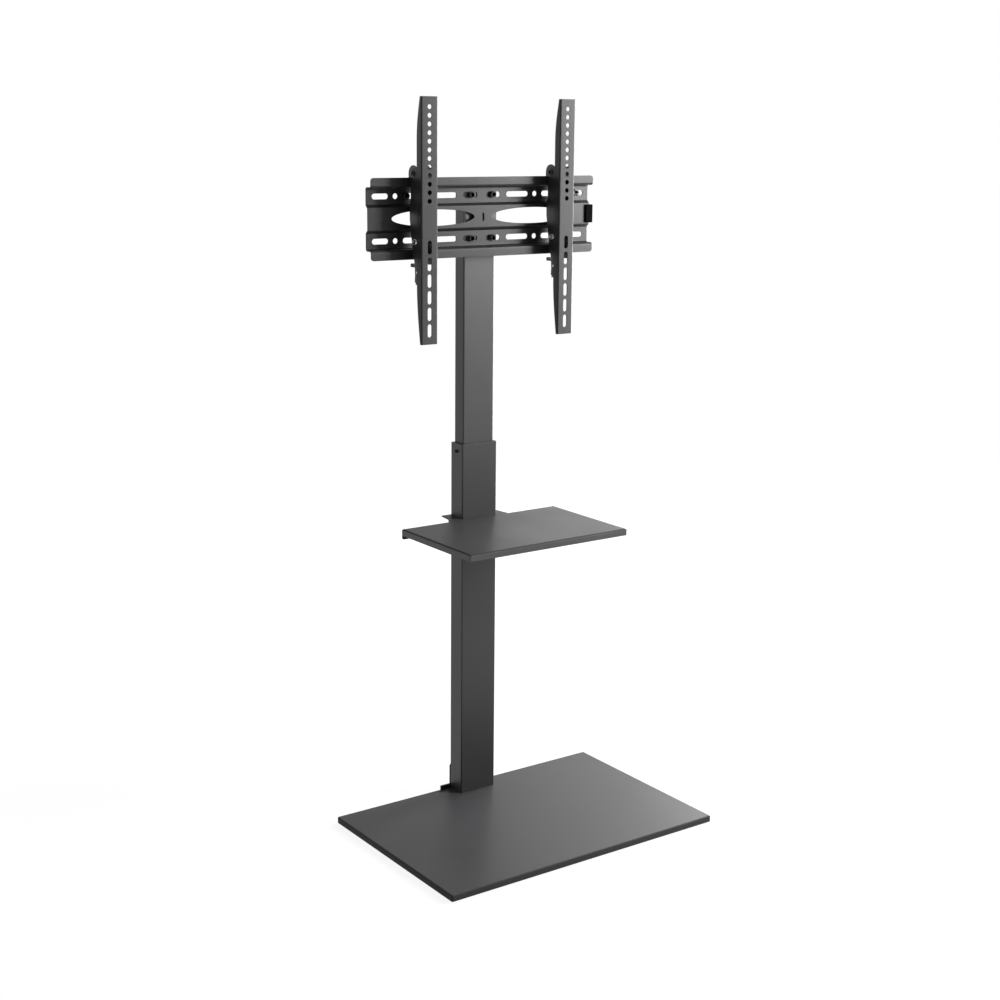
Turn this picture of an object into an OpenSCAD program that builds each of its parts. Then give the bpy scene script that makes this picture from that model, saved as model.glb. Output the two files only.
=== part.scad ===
// Floor stand for a flat television: a base plate, a telescoping column with a shelf,
// and a rail plate that carries two hook-on arms with tilt brackets and safety latches.
// Millimetres, +Z up, the front faces -Y. The origin is on the floor under the middle of
// the base. The model stands as photographed: mast part-way out, arms upright.

/* [Base] */
// Width of the base, side to side
base_w = 600; // [460:10:800]
// Depth of the base, front to back
base_d = 400; // [320:10:600]
// Height of the cover's turned-down edge
base_edge = 12; // [11:0.5:18]
// Sheet thickness of the cover
base_sheet = 1.5; // [1:0.1:2]
// Plan radius of the cover's corners
base_corner = 3; // [2.5:0.5:20]
// Gap between the floor and the cover's edge
rim_lift = 1.5; // [0.5:0.5:5]
// Thickness of the ballast plate inside the cover
ballast_t = 8; // [7:0.5:9]
// Gap between the ballast plate and the cover's edge, each side
ballast_gap = 2; // [1:0.5:3]
// Diameter of a rubber floor pad
pad_dia = 30; // [15:1:45]
// Distance of the outer pads' centres from the edge of the base
pad_inset = 32; // [25:1:60]

/* [Column] */
// Width of the fixed tube
col_w = 80; // [78:1:90]
// Depth of the fixed tube
col_d = 40; // [38:1:50]
// Wall of the fixed tube
col_wall = 2; // [1.5:0.1:2.4]
// Corner radius of the fixed tube
col_r = 2.5; // [2.5:0.5:6]
// Length of the fixed tube
col_len = 707; // [660:1:760]
// Thickness of the threaded plate welded into the tube's foot
foot_plate_t = 8; // [6:1:14]
// Spacing of the four column bolts, side to side
foot_bolt_x = 48; // [40:1:52]
// Spacing of the four column bolts, front to back
foot_bolt_y = 15; // [14:0.5:16]
// Height of the foot brace behind the column, above the base
brace_h = 50; // [40:1:70]
// Reach of the brace's low bar past the column, each side
brace_out = 22; // [18:1:34]
// Height of the brace's low bar above the base
brace_bar = 7; // [5:0.5:12]
// Steel thickness of the foot brace
brace_t = 3; // [2:0.5:4]
// Length of the guide bush in the mouth of the fixed tube
bush_len = 40; // [25:1:60]
// Depth of the bush's top below the tube's rim
bush_recess = 1.5; // [0.5:0.5:4]
// Distance of the height screws below the rim
height_screw_drop = 15; // [10:1:24]

/* [Mast] */
// Width of the sliding tube
mast_w = 70; // [66:1:72]
// Depth of the sliding tube
mast_d = 30; // [28:1:32]
// Wall of the sliding tube
mast_wall = 2; // [1.5:0.1:2.4]
// Corner radius of the sliding tube
mast_r = 2.5; // [2.5:0.5:5]
// Length of the sliding tube
mast_len = 700; // [640:5:760]
// Length of the mast above the middle of the rail plate
mast_above = 66; // [60:1:70]
// Height of the rail plate's middle above the floor
mount_z = 1152; // [1110:1:1200]
// Height of the glide shoe under the sliding tube
glide_h = 10; // [6:1:20]
// Length of the plugs that hold the glide shoe and the top cap
plug_len = 16; // [8:1:30]
// Thickness of the top cap's lid
cap_t = 3; // [2:0.5:5]
// Thickness of the head plate welded to the mast
head_t = 5; // [4:0.5:8]
// Height of the head plate
head_h = 120; // [104:1:126]

/* [Rail plate] */
// Width of the rail plate
plate_w = 500; // [480:10:600]
// Height of the rail plate, lip to lip
plate_h = 146.6; // [144:0.2:156]
// Sheet thickness of the rail plate
plate_t = 2; // [1.6:0.1:2.4]
// How far the hooking lips stand in front of the bands
lip_reach = 17; // [16:0.5:20]
// Height of a hooking lip
lip_h = 18.4; // [17:0.2:20]
// Corner radius at the ends of the lips
lip_corner = 6; // [3:0.5:10]
// Inside radius of the plate's bends
bend_r = 3; // [2:0.5:3.5]
// How far the middle band stands in front of the outer bands
step_reach = 5.5; // [3:0.5:7]
// Height of the middle band
mid_h = 40; // [36:1:42]
// Height taken by the sloping step beside the middle band
step_h = 5; // [4:0.5:6]
// Spacing of the two rows of slots
row_gap = 80; // [78:1:82]
// Width of the slots and diameter of the round holes
slot_w = 10.2; // [9.5:0.1:11]
// Half spacing of the bolts that hold the plate to the mast
plate_bolt_x = 24; // [21:0.5:24.5]
// Length of each oval window
window_w = 180; // [120:2:190]
// Height of each oval window
window_h = 30; // [20:1:32]
// Distance from the plate's middle to the middle of a window
window_x = 110; // [108:1:118]
// Width of the plastic level block on the plate's right end
level_w = 16; // [14:0.5:26]
// Height of the level block
level_h = 35; // [28:1:36]
// Depth of the level block
level_d = 11; // [8:0.5:12]
// How far the level block stands past the end of the plate
level_out = 6; // [3:0.5:9]

/* [Arms] */
// Distance from the middle of the stand to the middle of the left arm
left_arm_x = 152.5; // [110:0.5:190]
// Distance from the middle of the stand to the middle of the right arm
right_arm_x = 155; // [110:0.5:190]
// Length of an arm
arm_len = 440; // [420:0.5:460]
// Height of an arm's top above the rail plate's middle
arm_above = 215.5; // [205:0.5:225]
// Width of an arm
arm_w = 34.5; // [32:0.5:36]
// Full depth of an arm's side flanges
arm_depth = 16.5; // [14:0.5:18]
// Depth of the flanges at the very ends of an arm
arm_tip = 6; // [4:0.5:10]
// Sheet thickness of an arm
arm_t = 2; // [1.5:0.1:2.2]
// Outside bend radius of an arm
arm_bend = 2.5; // [2.5:0.5:4]
// Distance from the lips' front to the arms' front
arm_stand_off = 41; // [40:0.5:44]
// Length of the flanges' taper at the top
taper_top = 75; // [30:1:90]
// Length of the flanges' taper at the bottom
taper_bottom = 112; // [60:1:120]
// Spacing of the round screw holes
hole_pitch = 15; // [12:0.5:15]
// Number of round screw holes
hole_count = 12; // [6:1:12]
// Distance of the first round hole from the arm's top
hole_first = 18; // [12:0.5:20]
// Diameter of the round holes and width of the slots
hole_dia = 8.5; // [6.5:0.5:9.5]
// Spacing of the long slots
slot_pitch = 30; // [28:0.5:30]
// Number of long slots
slot_count = 6; // [3:1:6]
// Length of a long slot
slot_len = 24; // [18:0.5:25]
// Distance of the last slot's middle from the arm's bottom
slot_last = 25; // [20:0.5:28]

/* [Tilt brackets] */
// Steel thickness of a bracket
cheek_t = 2.5; // [2:0.1:2.8]
// Largest forward tilt of an arm, in degrees
tilt_max = 8; // [2:0.5:8]
// Distance from a bracket's front edges back to its web
web_set = 7; // [4:0.5:10]
// Height of the tilt pivot below the rail plate's middle
pivot_drop = 40; // [36:1:44]
// Distance of the tilt pivot behind the arm's front
pivot_back = 21; // [19:0.5:23]
// Height of the tilt lock bolt above the rail plate's middle
lock_rise = 81; // [80:0.5:84]
// Distance of the lock bolt behind the arm's front
lock_back = 29; // [28:0.5:31]
// Radius of the ear above the upper lip
ear_r = 15; // [14:0.5:16]
// Thickness of the hook's tongue behind the lip
tongue_t = 4; // [3:0.1:5]
// Height of the plastic rest pad that meets the lower lip
rest_pad_h = 11; // [8:0.5:12]

/* [Latches] */
// Travel of a safety latch from open to locked
latch_travel = 11.5; // [6:0.5:11.5]
// Sheet thickness of a latch
latch_t = 2; // [1.5:0.1:2.2]
// Height of the latch's upturned catch
latch_catch = 6.5; // [5:0.5:10]
// Diameter of the pin that guides a latch
latch_pin_dia = 5; // [4:0.5:6]

/* [Shelf] */
// Width of the shelf
shelf_w = 356; // [300:2:460]
// Depth of the shelf in front of the column
shelf_d = 229; // [180:1:300]
// Height of the shelf's top above the floor
shelf_z = 575; // [520:1:600]
// Sheet thickness of the shelf
shelf_sheet = 1.5; // [1.2:0.1:2]
// Depth of the front and side lips
shelf_lip = 13; // [10:0.5:18]
// Depth of the rear lip
rear_lip = 19; // [16:0.5:26]
// Width of the rear lip's inward return
lip_return = 6; // [4:0.5:10]
// Plan radius of the front corners
shelf_corner = 6; // [3:0.5:12]
// Gap between the shelf's rear edge and the column
shelf_set = 3; // [2:0.5:6]
// Width of the tongue round the column, at its root
tongue_w = 130; // [126:1:150]
// How much each side of the tongue draws in
tongue_taper = 8; // [2:0.5:9]
// Width of the strip behind the column
tongue_rim = 8; // [6:0.5:14]
// Steel thickness of the shelf clamp
clamp_t = 3; // [2.5:0.1:4]
// Height of the shelf clamp
clamp_h = 58; // [50:1:64]
// Reach of the clamp's support under the shelf
clamp_reach = 110; // [80:1:150]
// Width of the clamp
clamp_w = 118; // [114:1:122]

/* [Fasteners] */
// Shank diameter of the large bolts
big_bolt = 8; // [7:0.5:8]
// Shank diameter of the four bolts that hold the rail plate
plate_bolt = 6; // [5:0.5:7]
// Shank diameter of the small bolts and screws
small_bolt = 5; // [4:0.5:6]

/* [Fits] */
// Clearance round a fixed bolt's shank, each side
bolt_gap = 0.1; // [0.05:0.05:0.4]
// Running clearance of the pivot bolts, each side
pivot_gap = 0.05; // [0.02:0.01:0.1]
// Clearance between parts that slide or rest on each other
slide_gap = 0.3; // [0.2:0.05:0.4]
// Side clearance between an arm and its bracket
cheek_gap = 0.35; // [0.3:0.05:0.5]

/* [Hidden] */
$fn = 64;

// A margin that cutting tools run past the faces they cut
over = 1;
big_r = big_bolt / 2;
small_r = small_bolt / 2;
plate_r = plate_bolt / 2;
// Head and nut sizes follow the shank
big_af = big_bolt * 1.625;
big_head = big_bolt * 0.66;
big_nut = big_bolt * 0.8;
plate_af = plate_bolt * 1.625;
plate_head = plate_bolt * 0.66;
plate_nut = plate_bolt * 0.8;
small_head_r = small_bolt * 0.95;
small_head = small_bolt * 0.5;

// Heights of the base
base_top = rim_lift + base_edge;
ballast_top = base_top - base_sheet;
ballast_low = ballast_top - ballast_t;

// The column stands flush with the rear edge of the base
col_y = base_d / 2 - col_d / 2;
col_front = col_y - col_d / 2;
col_back = col_y + col_d / 2;
// Where the screws in the base's rear edge end, inside the ballast plate
low_screw_end = col_back - 15;
col_top = base_top + col_len;
bore_w = col_w - 2 * col_wall;
bore_d = col_d - 2 * col_wall;
bore_r = col_r - col_wall + 0.2;
mast_front = col_y - mast_d / 2;
mast_top = mount_z + mast_above;
mast_low = mast_top - mast_len;
bush_top = col_top - bush_recess;

// The rail plate is bolted flat on the head plate
band_back = mast_front - head_t;
band_y = band_back - plate_t;
lip_y = band_y - lip_reach;
lip_top = mount_z + plate_h / 2;
lip_low = mount_z - plate_h / 2;
web_out = plate_h / 2 - lip_h + plate_t;
washer_t = 1.6;
bolt_end = mast_front + mast_wall + plate_nut + 1;

// The arms hang in front of the lips
arm_y = lip_y - arm_stand_off;
arm_top = mount_z + arm_above;
arm_low = arm_top - arm_len;
arm_in = arm_w / 2 - arm_t;
cheek_out = arm_in - cheek_gap;
cheek_in = cheek_out - cheek_t;
pivot_y = arm_y + pivot_back;
pivot_z = mount_z - pivot_drop;
lock_y = arm_y + lock_back;
lock_z = mount_z + lock_rise;
swing_r = sqrt(pow(lock_y - pivot_y, 2) + pow(lock_z - pivot_z, 2));
swing_from = atan2(lock_z - pivot_z, lock_y - pivot_y);
hook_y = lip_y + plate_t + tongue_t + 2 * slide_gap;
ear_y = hook_y - ear_r;
ear_z = lip_top + 22 - ear_r;
rest_pad_z = lip_low + 7;
rest_pad_r = 3;
latch_pin_r = latch_pin_dia / 2;
latch_pin_y = arm_y + 20;
latch_pin_z = lip_low - 22;
latch_half = cheek_in - 0.6;
latch_right = latch_pin_r * 0.4;
latch_tab_z = lip_low - latch_travel - slide_gap;
latch_back_y = latch_pin_y + latch_pin_r + slide_gap + latch_t;
catch_y = lip_y + plate_t + 1.3;

// The shelf and its clamp
shelf_rear = col_front - shelf_set;
shelf_front = shelf_rear - shelf_d;
shelf_under = shelf_z - shelf_sheet;
clamp_y = col_front - slide_gap;
clamp_low = shelf_under - clamp_h;
ear_hole_x = (col_w / 2 + clamp_t + slide_gap + clamp_w / 2) / 2;

// A rectangle with round corners, centred
module rounded_rect(w, d, r) {
    square([w - 2 * r, d], center = true);
    square([w, d - 2 * r], center = true);
    for (x = [-1, 1], y = [-1, 1])
        translate([x * (w / 2 - r), y * (d / 2 - r)]) circle(r = r);
}

// A slot with round ends, centred, lying along the first axis
module slot2d(length, width) {
    square([length - width, width], center = true);
    for (s = [-1, 1]) translate([s * (length - width) / 2, 0]) circle(d = width);
}

// A rectangular tube that stands on z = 0
module tube(w, d, r, wall, h) {
    linear_extrude(h) difference() {
        rounded_rect(w, d, r);
        rounded_rect(w - 2 * wall, d - 2 * wall, r - wall + 0.2);
    }
}

// Children drawn in Y and Z become a solid from x0 to x1
module along_x(x0, x1) {
    translate([x0, 0, 0]) rotate([90, 0, 90]) linear_extrude(x1 - x0) children();
}

// Children drawn in X and Z become a solid from y0 to y1
module along_y(y0, y1) {
    translate([0, y1, 0]) rotate([90, 0, 0]) linear_extrude(y1 - y0) children();
}

// A rod along X, along Y or along Z
module rod_x(r, x0, x1) { translate([x0, 0, 0]) rotate([0, 90, 0]) cylinder(r = r, h = x1 - x0); }
module rod_y(r, y0, y1) { translate([0, y0, 0]) rotate([-90, 0, 0]) cylinder(r = r, h = y1 - y0); }
module rod_z(r, z0, z1) { translate([0, 0, z0]) cylinder(r = r, h = z1 - z0); }

// A hexagon across the flats given, as a prism of height h
module hex(af, h) { cylinder(d = af / cos(30), h = h, $fn = 6); }

// Points of an arc about (cx, cy) from angle a to angle b
function arc(cx, cy, r, a, b, n) =
    [for (i = [0:n]) [cx + r * cos(a + (b - a) * i / n), cy + r * sin(a + (b - a) * i / n)]];

// Places of repeated fasteners
module at_foot_bolts() {
    for (x = [-1, 1], y = [-1, 1]) translate([x * foot_bolt_x / 2, col_y + y * foot_bolt_y / 2, 0]) children();
}
module at_plate_bolts() {
    for (x = [-1, 1], z = [-1, 1]) translate([x * plate_bolt_x, 0, mount_z + z * row_gap / 2]) children();
}
module at_clamp_bolts() {
    for (x = [-1, 1], z = [0.28, 0.78]) translate([x * ear_hole_x, 0, clamp_low + z * clamp_h]) children();
}
module at_shelf_studs() {
    for (x = [-1, 1], y = [0.22, 0.85])
        translate([x * clamp_w * 0.36, clamp_y - y * clamp_reach, 0]) children();
}

// Base

// Pan of folded sheet, open below
module base_cover() {
    color([0.16, 0.16, 0.17]) difference() {
        translate([0, 0, rim_lift]) linear_extrude(base_edge) rounded_rect(base_w, base_d, base_corner);
        translate([0, 0, rim_lift - over]) linear_extrude(base_edge - base_sheet + over)
            rounded_rect(base_w - 2 * base_sheet, base_d - 2 * base_sheet, base_corner - base_sheet);
        at_foot_bolts() rod_z(big_r + bolt_gap, rim_lift, base_top + over);
        at_low_screws() rod_y(small_r + bolt_gap, col_back - base_sheet - over, col_back + over);
    }
}

module ballast_plate() {
    cut = base_sheet + ballast_gap;
    color([0.3, 0.3, 0.31]) difference() {
        translate([0, 0, ballast_low]) linear_extrude(ballast_t)
            square([base_w - 2 * cut, base_d - 2 * cut], center = true);
        at_foot_bolts() {
            rod_z(big_r + bolt_gap, ballast_low - over, ballast_top + over);
            rod_z(big_af / 2 + 0.8, ballast_low - over, ballast_low + big_head + slide_gap);
        }
        at_low_screws() rod_y(small_r + bolt_gap, low_screw_end, base_d / 2 - cut + over);
    }
}

// Six pads round the edge and one in the middle
module floor_pads() {
    px = base_w / 2 - pad_inset;
    py = base_d / 2 - pad_inset;
    places = [[-px, -py], [0, -py], [px, -py], [-px, py], [px, py], [0, 0], [0, py - 40]];
    color([0.08, 0.08, 0.08]) for (p = places)
        translate([p[0], p[1], 0]) rod_z(pad_dia / 2, 0, ballast_low);
}

// Column

module foot_plate() {
    color([0.3, 0.3, 0.31]) difference() {
        translate([0, col_y, base_top]) linear_extrude(foot_plate_t) rounded_rect(bore_w, bore_d, bore_r);
        at_foot_bolts() rod_z(big_r + bolt_gap, base_top - over, base_top + foot_plate_t + over);
    }
}

// Low-headed bolts, from below through ballast and cover into the foot plate
module column_bolts() {
    head_top = ballast_low + big_head + slide_gap;
    color([0.2, 0.2, 0.2]) at_foot_bolts() difference() {
        union() {
            rod_z(big_af / 2, head_top - big_head, head_top);
            rod_z(big_r, head_top, base_top + foot_plate_t);
        }
        translate([0, 0, head_top - big_head - over]) hex(big_bolt * 0.62, big_head * 0.6 + over);
    }
}

// Places of the brace's screws: two in the column's rear wall and two in the base's edge
module at_high_screws() {
    for (x = [-1, 1]) translate([x * col_w * 0.3, 0, base_top + brace_h * 0.74]) children();
}
module at_low_screws() {
    for (x = [-1, 1]) translate([x * (col_w / 2 + brace_out * 0.52), 0, ballast_top - ballast_t / 2]) children();
}

// Flat plate behind the column's foot and the base's rear edge
module foot_brace() {
    xi = col_w / 2;
    xo = xi + brace_out;
    z0 = rim_lift + 1.5;
    zb = base_top + brace_bar;
    zt = base_top + brace_h;
    r = 7;
    q = 2;
    color([0.14, 0.14, 0.15]) difference() {
        along_y(col_back, col_back + brace_t) polygon(concat(
            [[-xo, z0], [xo, z0]],
            arc(xo - q, zb - q, q, 0, 90, 4),
            [[xi, zb]],
            arc(xi - r, zt - r, r, 0, 90, 8),
            arc(r - xi, zt - r, r, 90, 180, 8),
            [[-xi, zb]],
            arc(q - xo, zb - q, q, 90, 180, 4)
        ));
        at_high_screws() rod_y(small_r + bolt_gap, col_back - over, col_back + brace_t + over);
        at_low_screws() rod_y(small_r + bolt_gap, col_back - over, col_back + brace_t + over);
    }
}

module brace_screws() {
    y1 = col_back + brace_t;
    color([0.1, 0.1, 0.1]) {
        at_high_screws() {
            rod_y(small_head_r, y1, y1 + small_head);
            rod_y(small_r, col_back - col_wall - 3, y1);
        }
        at_low_screws() {
            rod_y(small_head_r, y1, y1 + small_head);
            rod_y(small_r, low_screw_end + over, y1);
        }
    }
}

module height_screw_places() {
    for (s = [0, 1]) mirror([s, 0, 0]) translate([0, col_y, col_top - height_screw_drop]) children();
}

module column_tube() {
    color([0.16, 0.16, 0.17]) difference() {
        translate([0, col_y, base_top]) tube(col_w, col_d, col_r, col_wall, col_len);
        at_high_screws() rod_y(small_r + bolt_gap, col_back - col_wall - over, col_back + over);
        height_screw_places() rod_x(small_r + bolt_gap, bore_w / 2 - over, col_w / 2 + over);
    }
}

// Plastic liner that the mast slides in
module guide_bush() {
    color([0.05, 0.05, 0.05]) difference() {
        translate([0, col_y, bush_top - bush_len]) linear_extrude(bush_len) difference() {
            rounded_rect(bore_w, bore_d, bore_r);
            rounded_rect(mast_w + 2 * slide_gap, mast_d + 2 * slide_gap, mast_r + slide_gap);
        }
        height_screw_places() rod_x(small_r + bolt_gap, mast_w / 2 - over, col_w / 2);
    }
}

// Screws that press on the mast through the tube's sides
module height_screws() {
    color([0.1, 0.1, 0.1]) height_screw_places() difference() {
        union() {
            rod_x(small_r, mast_w / 2 + slide_gap, col_w / 2);
            rod_x(small_r + 0.8, col_w / 2, col_w / 2 + small_head);
        }
        translate([col_w / 2 + small_head * 0.3, 0, 0]) rotate([0, 90, 0]) hex(small_bolt * 0.6, small_head);
    }
}

// Mast

module mast_tube() {
    color([0.2, 0.2, 0.21]) difference() {
        translate([0, col_y, mast_low]) tube(mast_w, mast_d, mast_r, mast_wall, mast_len);
        at_plate_bolts() rod_y(plate_r + bolt_gap, mast_front - over, mast_front + mast_wall + over);
    }
}

// The plug of a plastic end piece, a snug fit in the mast
module mast_plug(z0, z1) {
    w = mast_w - 2 * mast_wall - 0.2;
    d = mast_d - 2 * mast_wall - 0.2;
    translate([0, col_y, z0]) linear_extrude(z1 - z0) rounded_rect(w, d, mast_r - mast_wall + 0.2);
}

module glide_shoe() {
    w = bore_w - 2 * slide_gap;
    d = bore_d - 2 * slide_gap;
    color([0.05, 0.05, 0.05]) {
        translate([0, col_y, mast_low - glide_h]) linear_extrude(glide_h) rounded_rect(w, d, bore_r);
        mast_plug(mast_low, mast_low + plug_len);
    }
}

module mast_cap() {
    color([0.05, 0.05, 0.05]) {
        translate([0, col_y, mast_top]) linear_extrude(cap_t) rounded_rect(mast_w, mast_d, mast_r);
        mast_plug(mast_top - plug_len, mast_top);
    }
}

module head_plate() {
    color([0.2, 0.2, 0.21]) difference() {
        along_y(mast_front - head_t, mast_front) translate([0, mount_z]) rounded_rect(mast_w, head_h, 4);
        at_plate_bolts() rod_y(plate_r + bolt_gap, band_back - over, mast_front + over);
    }
}

module head_nuts() {
    y0 = mast_front + mast_wall;
    color([0.5, 0.5, 0.5]) at_plate_bolts() difference() {
        translate([0, y0, 0]) rotate([-90, 0, 0]) hex(plate_af, plate_nut);
        rod_y(plate_r + bolt_gap, y0 - over, y0 + plate_nut + over);
    }
}

// Rail plate

// Half of the folded section, in Y and height above the middle: the front line runs from
// the middle band out to the lip's tip and the back line returns, one sheet behind it.
function section_half() =
    let (
        ri = bend_r,
        ro = bend_r + plate_t,
        my = band_y - step_reach,
        top = plate_h / 2,
        web_in = web_out - plate_t,
        lean = plate_t * 0.4
    )
    concat(
        [[my, mid_h / 2 + lean], [band_y, mid_h / 2 + step_h + lean]],
        arc(band_y - ri, web_in - ri, ri, 0, 90, 5),
        arc(lip_y + ro, web_in + ro - 0, ro, 270, 180, 6),
        [[lip_y, top], [lip_y + plate_t, top]],
        arc(lip_y + ro, web_in + ro, ri, 180, 270, 6),
        arc(band_y - ri, web_in - ri, ro, 90, 0, 5),
        [[band_back, mid_h / 2 + step_h - lean], [my + plate_t, mid_h / 2 - lean]]
    );
function section_full() =
    let (half = section_half())
    concat(half, [for (i = [len(half) - 1:-1:0]) [half[i][0], -half[i][1]]]);

// Slots of one side of a row: [middle, length]
slot_row = [[25.8, 31.5], [81.2, 50.5], [122, slot_w], [155.5, 35], [189, slot_w], [221, 34]];

module oval(x) {
    polygon([for (a = [0:7.5:352.5]) [x + window_w / 2 * cos(a), window_h / 2 * sin(a)]]);
}

module rail_plate() {
    round_end = plate_w / 2 - lip_corner;
    color([0.2, 0.2, 0.21]) difference() {
        along_x(-plate_w / 2, plate_w / 2) translate([0, mount_z]) polygon(section_full());
        // Rows of slots and round holes, and the oval windows
        along_y(band_y - over, band_back + over) translate([0, mount_z])
            for (sx = [-1, 1], sz = [-1, 1], s = slot_row)
                translate([sx * s[0], sz * row_gap / 2])
                    if (s[1] > slot_w) slot2d(s[1], slot_w);
                    else circle(d = slot_w);
        along_y(band_y - step_reach - over, band_back + over) translate([0, mount_z]) {
            oval(window_x);
            oval(-window_x);
            translate([0, -1]) rotate(90) slot2d(15, 4);
        }
        // Round outer corners of the lips
        for (sx = [0, 1], sz = [0, 1])
            translate([0, 0, mount_z]) mirror([sx, 0, 0]) mirror([0, 0, sz])
                along_y(lip_y - over, lip_y + plate_t + over) difference() {
                    translate([round_end, plate_h / 2 - lip_corner]) square(lip_corner + over);
                    translate([round_end, plate_h / 2 - lip_corner]) circle(r = lip_corner);
                }
    }
}

module plate_bolts() {
    y0 = band_y - washer_t;
    color([0.08, 0.08, 0.08]) at_plate_bolts() {
        rod_y(plate_r, y0, bolt_end);
        translate([0, y0 - plate_head, 0]) rotate([-90, 0, 0]) hex(plate_af, plate_head);
    }
}

module plate_washers() {
    color([0.1, 0.1, 0.1]) at_plate_bolts() difference() {
        rod_y(slot_w / 2 + 1.5, band_y - washer_t, band_y);
        rod_y(plate_r + bolt_gap, band_y - washer_t - over, band_y + over);
    }
}

// Plastic block clipped over the end of the middle band
module level_block() {
    x1 = plate_w / 2 + level_out;
    my = band_y - step_reach;
    color([0.03, 0.03, 0.03]) difference() {
        along_x(x1 - level_w, x1) translate([my + plate_t / 2, mount_z]) rounded_rect(level_d, level_h, 1.5);
        translate([x1 - level_w - over, my - bolt_gap, mount_z - level_h / 2 - over])
            cube([level_w - level_out + over, plate_t + 2 * bolt_gap, level_h + 2 * over]);
    }
}

// Two screws kept in slots of the upper row, with their nuts behind
kept_x = [slot_row[5][0] - 2, -slot_row[3][0] - (slot_row[3][1] - slot_w) / 2];
module at_kept_screws() {
    for (x = kept_x) translate([x, 0, mount_z + row_gap / 2]) children();
}
module slot_screw() {
    color([0.08, 0.08, 0.08]) at_kept_screws() difference() {
        union() {
            rod_y(big_r, band_y, band_back + big_nut + 2);
            rod_y(big_af / 2, band_y - big_head, band_y);
        }
        for (a = [45, 135]) translate([0, band_y - big_head - over, 0]) rotate([0, a, 0])
            translate([-big_af * 0.3, 0, -0.9]) cube([big_af * 0.6, big_head * 0.6 + over, 1.8]);
    }
}
module slot_nut() {
    color([0.1, 0.1, 0.1]) at_kept_screws() difference() {
        translate([0, band_back, 0]) rotate([-90, 0, 0]) hex(big_af, big_nut);
        rod_y(big_r + bolt_gap, band_back - over, band_back + big_nut + over);
    }
}

// Tilt brackets, drawn about x = 0

// The outline of a cheek in Y and Z, without its ear; the short one ends above the latch
module cheek2d(short) {
    front = arm_y + arm_t + 0.8;
    low = short ? lip_low - 8 : latch_pin_z - 20;
    free = tan(tilt_max) * (pivot_z - low + 2);
    polygon(concat([
        [front, pivot_z + 6], [front, lock_z + 5], [ear_y - ear_r * 0.8, ear_z + ear_r * 0.59],
        [ear_y, ear_z], [hook_y, ear_z], [hook_y, mount_z + web_out + 4],
        [lip_y - 2 * slide_gap, mount_z + web_out + 4],
        [lip_y - 2 * slide_gap, mount_z + web_out - 22],
        [lip_y + 3.5, mount_z + 18], [lip_y + 3, mount_z],
        [lip_y - 3, pivot_z + 4], [lip_y - 7, pivot_z - 14], [lip_y - 13, lip_low - 6]
    ], short ? [[lip_y - 15, low - 1], [max(front + free, latch_pin_y - 8), low]] : [
        [latch_pin_y + 6.5, latch_pin_z - 4], [latch_pin_y + 7.5, low + 2],
        [latch_pin_y - 5, low - 1], [max(front + free, latch_pin_y - 6), low]
    ]));
}

module tilt_bracket() {
    front = arm_y + arm_t + 0.8;
    color([0.13, 0.13, 0.14]) difference() {
        union() {
            for (s = [0, 1]) mirror([s, 0, 0]) along_x(cheek_in, cheek_out) difference() {
                union() {
                    cheek2d(s == 0);
                    translate([ear_y, ear_z]) circle(r = ear_r);
                }
                // The notch that drops over the upper lip
                translate([lip_y - 2 * slide_gap, mount_z + web_out - 2])
                    square([plate_t + 4 * slide_gap, lip_top + slide_gap - mount_z - web_out + 2]);
                // The arc slot of the tilt lock
                arc_slot2d(small_r + 0.4);
            }
            // The web that joins the cheeks
            translate([-cheek_in - over / 4, front + web_set, pivot_z + 12])
                cube([2 * cheek_in + over / 2, cheek_t, lip_top - 12 - pivot_z]);
        }
        for (s = [-1, 1]) {
            translate([0, pivot_y, pivot_z]) rod_x(big_r + pivot_gap, s * cheek_in - 4, s * cheek_in + 4);
            translate([0, rest_pad_y(), rest_pad_z])
                rod_x(rest_pad_r + pivot_gap, s * cheek_in - 4, s * cheek_in + 4);
        }
        translate([0, latch_pin_y, latch_pin_z]) rod_x(latch_pin_r + pivot_gap, -cheek_in - 4, -cheek_in + 4);
    }
}

// The slot swept by the lock bolt about the pivot
module arc_slot2d(r) {
    n = 10;
    inner = arc(pivot_y, pivot_z, swing_r - r, swing_from, swing_from + tilt_max, n);
    outer = arc(pivot_y, pivot_z, swing_r + r, swing_from + tilt_max, swing_from, n);
    polygon(concat(inner, outer));
    for (a = [0, tilt_max]) translate([
        pivot_y + swing_r * cos(swing_from + a), pivot_z + swing_r * sin(swing_from + a)
    ]) circle(r = r);
}

// Plastic pad between the cheeks that rests on the lower lip
function rest_pad_y() = lip_y - 12.5;
module rest_pad() {
    y1 = lip_y - slide_gap;
    color([0.04, 0.04, 0.04]) {
        along_x(-cheek_in + 0.1, cheek_in - 0.1) translate([(rest_pad_y() - 5 + y1) / 2, rest_pad_z])
            rounded_rect(y1 - rest_pad_y() + 5, rest_pad_h, 2);
        translate([0, rest_pad_y(), rest_pad_z]) rod_x(rest_pad_r, -cheek_out, cheek_out);
    }
}

module latch_pin() {
    x1 = latch_right + slide_gap;
    color([0.5, 0.5, 0.5]) translate([0, latch_pin_y, latch_pin_z]) {
        rod_x(latch_pin_r, -cheek_out, x1);
        rod_x(latch_pin_r + 1.5, x1, x1 + 1.5);
    }
}

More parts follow.
